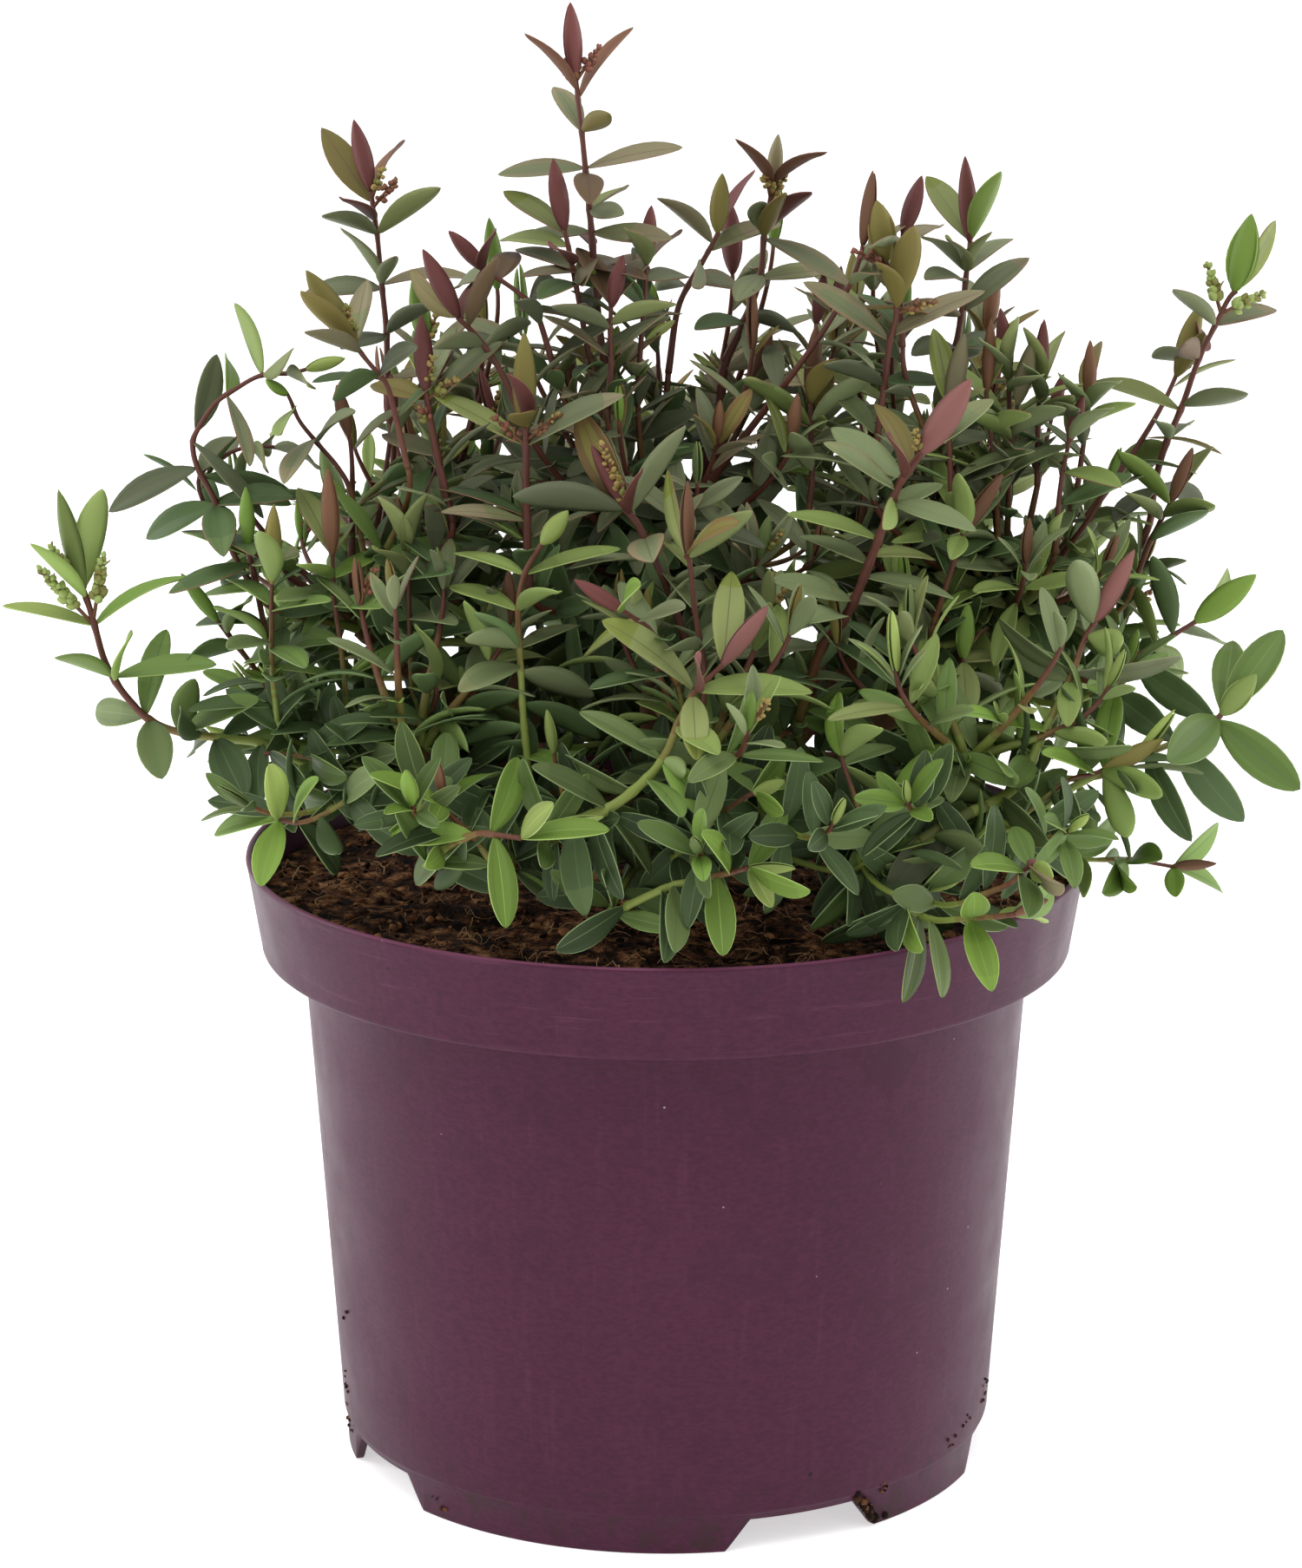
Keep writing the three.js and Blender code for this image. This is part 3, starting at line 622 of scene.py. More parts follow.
def folded_tip(mass, end, axis, tip, width, tint, azimuth=None, second=None):
    """Two young leaves pressed face to face, a boat-shaped pair that tapers to one point."""
    d = unit(tip - end)
    length = float(np.linalg.norm(tip - end))
    r = turn(across(unit(EYE - end), d), d, rnd.uniform(-0.75, 0.75) if azimuth is None else azimuth)
    for k in (1, -1):
        b = end + r * k * 0.3
        t = tip + r * k * 0.22 - d * (0 if k > 0 else length * rnd.uniform(0.02, 0.07))
        add_leaf(leaves[mass], b, t, -r * k, width * 1.04, tint if k > 0 or not second else second, arch=-0.05, cup=0.34, fold=0.1,
                 form=FINE, both=True, p=0.74, q=0.84, thick=0.34)


def bud_cluster(mass, base, tip, kind=None):
    """A young flower spike: a short stalk with rings of small round buds, largest low down."""
    axis = unit(tip - base)
    length = float(np.linalg.norm(tip - base))
    kind = kind or pick(["bud_green", "bud_yellow", "bud_yellow", "bud_brown"])
    other = pick(["bud_yellow", "bud_green", "bud_pink"])
    swell = 1.0
    if kind == "bud_fresh":
        other, swell = "bud_green", 1.4
    path = np.linspace(base, tip - axis * length * 0.1, 6)
    add_tube(twigs[mass], path, np.linspace(0.42, 0.3, 6), 6, MAT_ID[("stem", 2)])
    u = across(np.array([0.1, 0.8, 0.3]), axis)
    n = max(4, int(length * 0.62 / 0.95))
    for i in range(n):
        f = 0.36 + 0.56 * i / max(1, n - 1)
        full = 1.0 - 0.5 * (i / n) ** 1.3
        for k in range(3):
            size = full * swell * rnd.uniform(0.78, 1.22)
            r = turn(u, axis, i * 1.25 + k * 2.094 + rnd.uniform(-0.7, 0.7))
            d = unit(axis * rnd.uniform(0.5, 1.0) + r * 0.85)
            c = base + axis * (length * f + rnd.uniform(-0.45, 0.45)) + r * full * rnd.uniform(0.5, 1.15)
            add_drop(buds[mass], c, d, 1.6 * size, 0.62 * size, MAT_ID[kind if rnd.random() < 0.6 else other], fine=size > 0.85)
        if i % 2 == 0 and rnd.random() < 0.35:
            add_leaf(leaves[mass], base + axis * length * (f - 0.04), base + axis * length * f + d * 2.2 * size, axis, 0.9, "O", form=MIDDLE, cup=0.4)
    add_drop(buds[mass], tip - axis * 0.5, axis, 1.5, 0.55, MAT_ID[kind])


STEM_REACH = {"g": (2, 5, 8, 12, 16, 22, 80, 105), "n": (6, 10, 14, 18, 23, 29, 80, 105), "r": (26, 38, 48, 56, 64, 72, 110, 130)}


def stem_ids(s_from_tip, style, zs):
    """Stem colour by distance from the tip: red-brown young wood, then olive, green and brown.
    The red reaches further down the stems high in the crown."""
    reach = STEM_REACH[style]
    out = []
    for d, z in zip(s_from_tip, zs):
        d = (d + rnd.uniform(-1.5, 1.5)) / (0.6 if z < 160 else 1 + min(2.5, max(0.0, (z - 170) / 26)))
        out.append(MAT_ID[("stem", sum(1 for r in reach if d > r))])
    return out


def draw_stem(mass, path, s, radii, nodes, style, sides=8):
    r = radii * 0.8
    for n in nodes:
        r = r * (1 + 0.22 * np.exp(-((s - n) / 0.9) ** 2))
    add_tube(twigs[mass], path, r, sides, stem_ids(s[-1] - s, style, path[:, 2]), phase=rnd.random())


# ------------------------------------------------------------------ which mass a place belongs to
NAMES = list(MASSES)
CENTRES = np.array([MASSES[m][0] for m in NAMES])
HALVES = np.array([MASSES[m][1] for m in NAMES])


def scaled(p):
    return np.linalg.norm((p - CENTRES) / HALVES, axis=1)


def mass_at(p):
    return NAMES[int(np.argmin(scaled(p)))]


def inside(p, grow):
    return float(scaled(p).min()) < grow


# ------------------------------------------------------------------ what already shows from the front
CELL = 8
shown = {}


def mark(p, pad=0):
    u, v = seen(p)
    a, b = int(u // CELL), int(v // CELL)
    for i in range(a - pad, a + pad + 1):
        for j in range(b - pad, b + pad + 1):
            if (i, j) not in shown or shown[(i, j)] > p[1]:
                shown[(i, j)] = p[1]


def mark_leaf(base, tip, n, width):
    c = tip - base
    side = unit(np.cross(n, c)) * width / 2
    for t in np.linspace(0.06, 0.98, 10):
        h = math.sin(math.pi * min(1, t * 1.05)) * 0.85
        for k in (-h, 0, h):
            mark(base + c * t + side * k)


def covers(base, tip):
    """True where a leaf would hide a shoot that is already placed."""
    hit = 0
    for t in (0.15, 0.4, 0.6, 0.8, 1.0):
        p = base + (tip - base) * t
        u, v = seen(p)
        y = shown.get((int(u // CELL), int(v // CELL)))
        if y is not None and y > p[1] + 1.5:
            hit += 1
    return hit >= 2


# ------------------------------------------------------------------ the shoots that face the viewpoint
# S mass, y at base and tip, radius at base and tip, stem colour, then the stem's places from base to tip.
# T folded young pair at the tip. L leaf: tip, base, width seen, tint, f or b for leaning near or far, length.
# B bud spike: tip, base, tint. A leaf pairs on the bare lower part: from, to, tints, spacing, length.
SHOOTS = """
S shoots_leader -4 0 1.0 0.6 r | 700,440 692,390 687,340 684,300 680,250 675,200 670,150 663,88
T 656,2 24 P
L 604,38 661,106 11 R f
L 730,31 671,112 11 R b
B 692,52 672,92 p
B 645,68 663,98 b
L 638,100 670,150 26 G b 16
L 703,131 671,152 24 O f 14
L 573,201 673,196 20 H
L 787,170 677,196 18 G
L 680,236 676,198 34 V f 19
L 590,275 679,268 18 G
L 775,275 682,266 22 G
L 672,330 684,300 20 G f 16
L 719,247 680,240 22 G f 14
L 724,214 681,242 8 M
L 600,318 683,312 12 G
L 745,322 686,312 12 V
L 655,262 678,285 9 P
A 0 .4 DG 9 18
S shoots_leader -10 -8 .9 .55 n | 690,470 680,420 672,375 662,320 655,285 650,264
T 636,182 25 P
L 580,220 650,272 22 M b
L 575,277 652,287 20 M
L 715,300 660,315 20 G b
L 620,345 664,325 20 D
L 594,287 640,312 16 G
L 633,284 655,308 10 P
A 0 .6 DG 8 18
S shoots_leader -6 -4 .8 .5 n | 735,450 738,400 742,350 745,302
T 750,236 18 P
L 722,264 744,306 22 M
L 786,266 747,300 8 V
L 700,300 745,306 14 V
L 792,318 744,325 18 G
A 0 .7 DG 8 18
S shoots_leader -16 -14 .9 .5 n | 700,470 704,420 703,385 704,352
T 717,293 20 P
L 665,285 702,350 26 V b
L 750,295 706,350 22 G b
L 780,350 703,372 20 M
L 636,352 703,380 20 G
A 0 .7 DG 8 18
S shoots_top_left 8 12 .95 .55 r | 452,500 447,440 445,380 440,330 435,275 430,240 427,218
T 408,137 22 P
L 370,147 428,236 34 O b 17
L 467,161 437,228 10 R
B 441,193 432,228 y
B 457,206 437,240 b
L 392,228 430,255 11 P f
L 371,248 434,270 18 G
L 508,216 435,268 24 M 18
L 392,262 439,322 13 G f
L 455,295 440,330 18 G f 14
L 350,338 440,332 24 G
L 545,320 441,328 12 G
L 500,350 445,385 20 D
L 392,402 445,385 20 D
A 0 .5 DG 9 18
S shoots_left_lean -30 -26 .85 .55 n | 470,540 458,490 447,447 435,430 420,412 410,398
T 352,311 30 O
L 346,335 408,398 24 O f
L 423,322 405,382 24 G
B 398,350 407,386
L 351,382 415,408 20 G
L 383,459 436,432 24 D
L 482,400 437,430 20 D
A 0 .7 DG 8 18
S shoots_upper_left -20 -18 .9 .55 r | 600,480 575,425 555,395 540,378 527,366
T 487,286 22 P
L 472,311 525,370 22 O
L 573,295 530,385 24 V
L 560,310 528,372 10 P b
L 500,400 556,397 22 G f
L 612,372 557,395 22 G
A 0 .6 DG 8 18
S shoots_upper_left -15 -12 .85 .5 n | 640,430 618,360 600,340 580,325 557,311
T 517,265 20 P
L 571,265 557,313 11 P
L 590,290 575,320 32 V b 17
L 525,332 570,320 16 G
L 642,325 606,347 20 G
A 0 .6 DG 8 18
S shoots_upper_left -27 -24 1.2 .7 r | 520,600 505,530 495,480 490,450
T 485,362 22 P
L 465,400 468,448 18 Y b
L 427,443 489,462 22 O
L 522,402 495,455 24 P b
B 500,410 493,444 y
B 528,436 500,460 y
B 482,468 492,486 p
L 525,375 497,455 22 G b
L 580,393 546,462 20 G b
L 440,500 520,520 22 V
A 0 .75 DG 8 18
S foliage_centre -32 -30 1.15 .85 r | 610,680 607,620 606,560 606,520 605,492
T 603,382 32 O
L 585,430 605,490 18 P f
L 600,476 605,494 34 O f 16
L 497,453 602,512 22 M
L 720,455 616,513 22 G
B 568,480 598,512 p
B 647,476 612,508 b
L 503,563 612,592 14 D
L 508,590 610,600 18 V
A 0 .5 DG 8 19
S foliage_centre -40 -38 1.1 .85 r | 790,740 770,680 745,625 735,605 722,588
T 681,512 18 P
L 665,470 718,585 40 O b 21
L 700,500 735,600 24 G b
L 790,490 730,590 26 G
L 590,572 718,590 32 I f
L 740,540 727,592 10 P
B 692,508 702,532 y
B 708,545 718,566 y
L 752,648 742,618 50 G f 18
A 0 .7 DG 8 19
S shoots_left_curl -14 -8 .85 .5 r | 300,690 270,640 248,578 228,540 222,515 226,498 248,465 272,448 300,433 335,430 355,425
T 398,412 16 Y
L 250,408 226,497 30 D
L 260,410 262,455 18 Y b
L 270,349 302,430 20 B b
L 337,404 303,432 16 M
L 357,446 330,432 14 M
L 125,590 222,543 30 D
L 304,598 228,508 16 D
L 340,573 250,580 24 D
L 168,621 242,585 28 D
L 258,642 250,580 40 D f 19
L 272,504 236,543 28 G
L 288,538 268,463 16 G
L 336,582 262,572 18 D
L 292,640 284,610 20 D
L 343,576 236,545 24 D
A 0 .25 DG 8 18
S shoots_left_curl -8 -4 .6 .4 r | 230,546 245,533 262,523 286,515 313,515 330,520
L 368,541 316,515 12 G
L 306,541 288,516 10 M
L 312,499 298,514 10 M
A 0 0 D 8 18
S shoots_left_curl -12 -12 .8 .45 n | 420,640 405,570 390,540 365,510 345,485 335,462 330,452
T 305,438 14 B
L 322,502 338,470 14 B
L 410,474 363,510 10 G
L 327,558 356,508 20 G
A 0 .4 DG 8 18
S foliage_left -30 -28 .8 .5 n | 400,860 398,800 392,740 385,690 383,640
T 378,538 20 R
L 343,562 381,637 28 M b
L 410,600 386,636 18 M b
L 318,692 384,688 12 G
L 345,650 383,668 16 M
L 445,632 385,668 18 M
L 330,745 390,740 20 G
L 442,700 388,700 18 G
A 0 .62 DDG 6.2 17
S foliage_left -34 -34 .85 .5 g | 320,830 315,790 313,745 313,700 313,672
T 315,580 20 O
L 300,612 311,668 28 B f
L 326,625 315,670 20 M b
L 382,692 315,702 9 G
L 262,668 312,700 18 G
L 262,748 312,742 16 G
L 352,770 318,745 22 G
A 0 .5 DDG 6.2 17
S foliage_left -26 -26 .85 .5 n | 490,880 483,820 475,790 472,720 470,640
T 458,570 13 R
L 436,572 467,640 18 M
L 491,568 471,640 20 M
L 430,632 470,665 16 M
L 522,660 472,668 20 D
L 418,720 472,715 20 D
L 527,720 473,712 18 G
A 0 .7 DDG 6.2 17
S foliage_left -40 -40 .8 .5 g | 430,862 462,845 490,828 502,805 502,790
L 478,720 502,788 16 B
L 532,790 503,794 12 M
L 478,797 503,798 14 M
L 425,825 488,830 22 D
L 540,865 492,830 22 G
A 0 .3 DG 8 18
S foliage_left -18 -22 .9 .6 n | 330,800 310,745 300,700 292,660 285,630
T 283,560 18 M
L 194,684 281,651 20 D
L 259,678 290,662 14 D
L 246,700 297,742 9 M
L 225,720 303,720 16 D
L 235,684 296,680 12 G
L 209,612 288,640 16 G
L 345,640 290,650 18 G
A 0 .6 DDG 6.2 17
S foliage_left -12 -16 .9 .6 n | 330,830 300,780 270,740 250,715
T 208,660 16 M
L 290,690 262,730 14 G
L 215,760 275,748 20 D
A 0 .7 DDG 6.5 17
S shoots_left_tip -32 -28 1.1 .72 r | 330,870 300,856 250,850 200,842 170,828 150,808 134,787 120,760 110,725 103,700 96,680
T 68,563 24 C
L 118,563 97,676 36 B f 20
L 35,626 95,690 18 M
L 90,600 96,680 22 M b
B 43,652 108,720 m
B 56,628 94,678 m
B 120,636 111,716 m
L 2,698 109,722 16 Y
L 218,664 112,720 14 M
L 64,757 133,781 18 G
L 250,766 135,780 22 G
L 152,728 137,782 9 B
L 187,898 170,830 42 G f 20
L 110,820 168,826 34 G
L 192,725 172,824 30 G b
L 225,782 208,840 32 G b 18
L 300,805 210,843 24 G
L 332,815 252,848 26 D
L 222,868 245,850 16 D
L 208,820 235,848 22 D
L 282,920 250,852 44 D f 20
L 300,932 300,862 30 D
A 0 .1 DG 8 18
S foliage_front_left -40 -38 .75 .5 g | 500,905 450,890 400,880 350,872 305,868
L 362,811 302,868 28 D
L 432,824 350,866 30 D
L 400,895 352,905 26 G
L 352,900 312,868 24 D f
L 410,945 385,890 34 D f 17
L 458,868 412,912 28 G
L 340,960 320,900 24 D f
A 0 .5 DDG 8 17
S foliage_front_left -52 -56 .75 .5 g | 420,905 395,925 370,940 345,948 322,945
L 310,880 319,943 28 Y
L 327,884 322,943 20 M b
L 247,961 322,960 22 M
L 300,1022 316,955 34 B f
L 367,897 338,955 14 M
L 390,1006 345,958 26 D
L 410,905 352,946 22 D b
L 442,952 400,920 28 D f 17
L 388,985 372,939 26 D f 15
L 440,890 398,922 26 G
A 0 .8 DDG 5 17
S shoots_top_middle 10 14 .95 .55 r | 770,430 780,360 795,325 812,297 828,267
T 832,199 22 O
L 870,195 836,264 14 P
L 757,228 820,280 20 G
L 797,330 806,305 20 G f 16
L 900,258 820,293 20 G
L 755,335 793,328 18 G
L 852,330 797,325 20 G
A 0 .5 DG 8 18
S shoots_top_middle 14 18 1.3 .6 r | 830,470 835,420 858,370 876,318 880,275 886,240 890,212
T 897,154 17 V
L 848,160 889,212 14 R
L 953,175 893,215 12 R
B 880,192 888,228
B 907,198 892,232
L 872,233 885,272 28 G f 14
L 903,222 884,274 24 O
L 935,221 890,272 18 P
L 848,348 878,318 28 G f
L 980,330 881,272 20 G
L 962,310 880,322 20 G
L 800,380 858,372 20 D
L 922,385 860,368 20 D
A 0 .3 DG 9 18
S shoots_middle_right -16 -16 1.0 .6 r | 1005,560 1010,510 1018,450 1025,395 1033,360 1030,320 1020,300
T 1010,230 32 O
L 1053,260 1038,352 34 O f
L 1012,302 1036,358 22 O
B 982,288 1014,310 p
B 1080,347 1044,364 b
L 925,325 1022,392 24 G
L 1135,335 1035,390 24 G
L 948,420 1018,445 20 D
L 1095,440 1020,440 20 D
A 0 .4 DG 8 18
S shoots_middle_right -12 -10 .8 .5 n | 1040,400 1038,350 1038,300 1040,268
T 1063,202 22 P
L 1085,260 1041,285 18 G b
L 1000,285 1040,290 14 G
A 0 .6 DG 8 18
S shoots_middle_right -8 -6 .9 .55 n | 930,600 935,560 935,520 934,480 934,466
T 940,372 20 R
L 910,398 932,462 20 M b
L 963,413 937,466 28 O f
L 855,437 933,490 22 G
L 1015,430 937,488 22 G
L 873,495 934,505 22 G
L 995,505 936,508 20 D
A 0 .6 DG 8 18
S shoots_middle_right 10 12 .8 .5 n | 935,470 938,420 940,372
T 950,312 16 P
A 0 .8 GD 8 18
S shoots_front_red -34 -46 1.35 .85 r | 920,830 945,750 968,720 985,690 1005,640 1020,600 1035,560 1052,535 1062,522
T 1120,436 34 Q
L 1145,460 1068,524 28 G b
L 1008,465 1052,538 26 O
B 1054,495 1056,526 y
L 957,493 1030,545 32 G
L 948,510 1024,562 20 G
L 1017,610 1022,570 18 B f 12
L 1125,612 1033,580 26 G
L 1085,557 1032,590 22 G b
L 1022,500 1032,548 10 P
L 905,592 1008,618 16 B
L 920,617 998,648 18 G
L 1078,645 1008,642 12 M
L 888,668 985,692 24 G
L 1100,690 1000,668 18 G
L 930,718 975,712 20 G
L 1050,777 968,714 16 D
L 1040,795 955,740 16 D
L 840,758 950,745 20 G
A 0 .3 DG 8 19
S shoots_top_right 14 18 1.0 .6 r | 1085,470 1100,405 1108,360 1113,318 1118,278
T 1112,179 20 P
L 1067,203 1118,272 30 M
L 1153,197 1121,268 26 Y f
L 1060,272 1113,316 16 G
L 1167,275 1115,314 18 G
L 1090,274 1114,312 10 M
L 1142,267 1116,312 12 M
L 1065,322 1112,325 12 G
L 1186,297 1110,358 28 G
L 1040,350 1106,362 20 G
L 1160,400 1102,402 20 D
L 1050,410 1100,402 20 D
A 0 .3 DG 8 18
S shoots_right -10 -8 .85 .5 n | 1150,640 1150,560 1160,520 1168,490 1172,466
T 1190,390 20 V
L 1098,417 1162,515 18 B
L 1228,470 1166,500 20 G
L 1118,475 1165,505 18 G
A 0 .7 DG 8 18
S shoots_right -16 -14 .8 .5 n | 1096,570 1094,515 1093,470
T 1112,383 22 V
L 1075,378 1092,466 28 N b 16
L 1132,448 1096,482 16 N
L 1140,500 1096,516 18 G
L 1050,500 1094,512 18 G
A 0 .5 DG 7 17
S shoots_right -12 -10 .8 .5 n | 1150,570 1142,500 1136,452
T 1142,366 14 R
L 1169,368 1137,440 22 M b 15
L 1116,470 1138,486 14 G
L 1186,476 1141,500 20 M
A 0 .5 DG 7 17
S shoots_right -4 -4 .8 .5 n | 1165,540 1163,470 1162,430
T 1153,354 18 P
L 1172,365 1163,428 18 M
L 1128,390 1162,440 14 G
L 1200,432 1163,450 16 G
A 0 .7 DG 8 18
S shoots_right -2 -2 .8 .5 n | 1195,560 1196,490 1198,450
T 1202,367 18 P
L 1180,377 1196,448 16 M
L 1227,381 1200,450 20 M
L 1180,420 1196,468 16 G
L 1236,455 1199,492 22 M
L 1242,470 1198,480 20 G
A 0 .7 DG 8 18
S shoots_right -14 -12 .85 .5 n | 1215,640 1222,560 1232,507
T 1248,455 16 P
L 1262,432 1233,505 18 B b
L 1282,470 1233,508 20 G
L 1168,532 1226,540 20 G
L 1292,562 1224,545 20 G
A 0 .6 DG 8 18
S shoots_right -4 -4 .8 .5 n | 1240,570 1250,500 1255,462
T 1256,391 16 R
L 1268,393 1252,450 20 O b
L 1290,440 1255,470 18 G
L 1220,430 1254,480 16 G
L 1308,464 1255,490 14 G
A 0 .7 DG 8 18
S shoots_right_arm 6 12 1.1 .6 r | 1290,700 1310,640 1325,600 1330,560 1342,515 1362,468 1375,430 1385,405 1400,375 1415,345 1424,335
T 1443,246 40 B
L 1470,254 1428,335 18 M b
L 1352,333 1399,376 18 G
L 1471,357 1402,374 22 G
B 1390,302 1402,358 m
B 1458,337 1412,362 m
L 1364,395 1384,414 30 V f 16
L 1327,412 1382,416 18 G
L 1378,372 1388,407 9 P
L 1260,440 1360,470 20 M
L 1438,453 1364,466 22 G
L 1333,485 1348,508 16 G f 14
L 1372,488 1350,508 16 G
L 1280,545 1344,512 34 G
L 1283,602 1330,562 22 D
L 1387,582 1332,560 22 D
A 0 .25 DG 8 18
S shoots_right_arm -2 0 .8 .5 n | 1300,690 1325,625 1340,595 1350,577
T 1375,515 16 R
L 1398,514 1352,574 20 M b
L 1288,520 1346,579 20 Y
L 1400,582 1342,595 20 G
L 1298,567 1338,600 18 M
L 1392,588 1325,620 18 D
A 0 .5 DG 8 18
S shoots_right_middle -14 -10 .9 .55 n | 1270,790 1300,762 1335,742 1360,727 1378,716
T 1448,662 30 B
L 1415,656 1380,714 22 M b
L 1328,640 1350,732 28 D
L 1413,742 1362,727 12 G
L 1300,672 1335,742 18 M
L 1362,782 1330,745 24 G
A 0 .5 DG 8 18
S shoots_right_low -46 -36 1.1 .7 n | 1200,930 1240,905 1290,880 1330,865 1370,848 1400,830 1408,822
T 1448,777 28 C
L 1478,726 1412,818 44 E b 21
L 1420,738 1402,818 38 G b 20
L 1345,878 1408,832 50 E f 21
L 1498,910 1412,840 46 E f
L 1310,768 1396,822 40 D b 22
L 1433,947 1366,880 42 D 21
L 1286,802 1352,845 40 D b
L 1373,970 1335,915 34 D 20
A 0 .3 DG 8 19
S foliage_front_right -54 -46 .8 .5 n | 1130,980 1185,935 1230,900 1255,893 1272,888
T 1342,852 26 O
L 1340,915 1268,893 30 M f
L 1285,797 1275,882 30 M b
L 1300,965 1290,900 32 M f 16
L 1200,868 1262,893 18 M
L 1245,942 1225,905 24 D
A 0 .3 DG 8 18
S foliage_right -62 -30 1.7 .6 g | 1060,970 1110,940 1150,922 1180,895 1195,860 1215,820 1235,778 1248,740 1262,716
T 1308,633 24 Q
L 1240,645 1258,722 38 G
L 1292,745 1252,735 34 M f 12
L 1150,713 1233,776 18 G
L 1362,757 1238,776 20 G
L 1165,740 1230,782 34 G
L 1230,838 1228,780 28 B f 14
L 1068,840 1188,866 22 G
L 1305,860 1197,862 13 G
L 1160,905 1190,872 34 G f 14
L 1028,892 1145,920 34 G
L 1182,1000 1150,925 22 D
L 1022,1030 1100,955 44 I f
L 1008,1032 1085,955 30 D
L 1210,975 1155,925 26 G
A 0 .1 DG 8 18
S foliage_right -30 -28 .8 .5 n | 1080,880 1100,820 1108,780 1110,757
T 1115,695 26 B
L 1136,727 1112,757 14 R
L 1115,827 1112,765 34 M f 16
L 1048,780 1108,775 18 M
L 1168,758 1112,765 16 M
L 1152,802 1112,772 20 G
A 0 .6 DG 8 18
S foliage_right -24 -24 .8 .5 n | 1075,720 1095,660 1110,612
T 1155,545 18 R
L 1105,545 1108,615 26 M
L 1095,645 1105,618 24 B f 13
L 1168,655 1098,650 20 G
L 1045,640 1100,640 18 D
A 0 .6 DG 8 18
S foliage_front -74 -66 1.5 .6 g | 640,955 700,932 740,902 765,872 782,832 800,798 820,778 833,766
T 885,697 22 Q
L 843,658 836,764 38 N b 19
L 693,715 796,790 28 M
L 937,798 802,800 28 M
L 803,877 797,800 34 M f 17
L 801,755 802,795 7 Q
L 667,820 762,876 24 G
L 828,870 780,838 30 M
L 650,870 728,915 20 G
L 612,883 700,932 26 G
L 828,950 785,890 36 M f 17
L 790,892 770,880 22 G f 9
L 785,942 745,900 20 G
L 750,1007 705,945 20 G
L 718,1037 690,965 28 D
L 675,1057 670,975 36 D f
A 0 0 D 8 18
S foliage_front_left -66 -70 .9 .5 n | 570,1000 545,965 515,935 510,918
T 503,872 12 R
L 515,843 510,918 33 G b 16
L 425,893 503,928 20 B
L 577,891 514,928 13 M
L 500,947 508,922 26 B f 10
L 432,987 530,955 24 D
L 562,905 540,960 22 D
A 0 .3 DG 8 18
S foliage_front_left -72 -80 1.0 .6 n | 500,985 545,962 570,962 600,966
T 697,940 18 Y
L 597,872 568,957 32 M b
L 583,1070 567,968 34 B f
L 638,925 603,960 24 Y f 12
L 703,957 605,975 24 B
L 450,962 545,960 30 M
L 478,1018 540,975 26 G
L 500,1024 545,980 26 D
L 490,1000 500,965 24 B f 13
A 0 0 D 8 18
S foliage_front -76 -82 1.0 .6 g | 720,1045 770,1022 800,1015 840,1006 862,1000
T 917,1000 14 Y
L 905,925 864,996 32 M b
L 808,960 840,1002 22 B
L 833,1102 824,1015 36 B f
L 890,1046 864,1006 22 Y f 9
L 934,1027 872,1006 22 B
L 842,955 838,1000 28 D b
L 777,1098 780,1030 28 G f
L 765,1110 768,1035 22 D f
L 640,1095 700,1040 28 D
A 0 0 D 8 18
S foliage_front -70 -74 .8 .5 g | 790,975 835,935 860,918 870,914
T 905,900 18 Y
L 905,868 866,914 26 M b
L 922,905 872,920 14 M
L 903,937 872,918 18 B f 10
L 842,985 835,935 30 D
A 0 .3 DG 8 18
S foliage_front -62 -66 .8 .5 n | 1000,975 985,920 972,882 970,872
L 965,798 971,872 22 M b
L 1013,838 975,872 26 B f
L 1019,923 974,880 18 B
L 915,905 966,885 20 D
L 1030,860 975,880 18 G
A 0 .4 DG 8 18
S shoots_rim_right -70 -84 .9 .6 g | 1030,1030 1048,1046 1075,1060 1120,1058 1150,1056 1170,1054
T 1208,1036 13 R
L 1214,1025 1165,1054 34 M b
L 1206,1063 1150,1058 8 Y
L 1122,1028 1122,1058 34 B f 12
L 1143,1143 1116,1062 34 B f
L 1085,1150 1070,1066 22 G f
L 1040,1156 1048,1066 22 G f
L 1063,1096 1054,1035 20 B f
L 1034,1096 1038,1050 24 D f
L 968,1065 1035,1060 16 D
L 946,1086 1025,1062 20 D
A 0 0 D 8 18
S foliage_front_right -76 -82 .8 .5 n | 1120,1035 1160,1020 1180,1003 1188,999
L 1168,952 1186,998 28 G b 14
L 1229,956 1192,996 22 M b 15
L 1118,998 1180,1003 22 B
L 1185,1057 1178,1008 24 G f
L 1213,1013 1192,1003 26 Y f 9
L 1226,1022 1197,985 16 V f
T 1193,990 12 Q
A 0 .2 DG 8 18
S shoots_right_under -36 -30 .7 .45 n | 1180,975 1245,990 1300,990 1330,995 1352,999
T 1402,995 12 R
L 1404,950 1358,993 24 M b
L 1355,1034 1354,1002 24 B f 10
L 1408,1027 1362,1004 18 M
L 1339,990 1303,988 26 M f
L 1270,1030 1300,996 28 M f
L 1292,1002 1272,985 20 G
L 1310,1023 1290,995 10 M
L 1252,1031 1235,985 20 M f
L 1284,945 1235,985 26 M
A 0 .2 DG 8 16
S foliage_front_left -50 -48 .9 .6 g | 612,910 604,840 600,770 597,703 605,660 625,625
T 655,588 22 Y
L 522,637 604,660 14 B
L 716,632 608,662 14 B
L 517,675 596,703 16 B
L 645,682 599,703 18 M
L 548,705 597,745 20 D
L 668,720 599,745 16 G
L 537,735 597,748 24 G
L 528,797 599,770 26 G
L 685,803 602,772 30 G
L 524,826 601,800 26 D
L 692,852 603,810 26 D
L 533,857 603,835 26 D
L 556,884 606,850 24 D
A 0 0 D 8 18
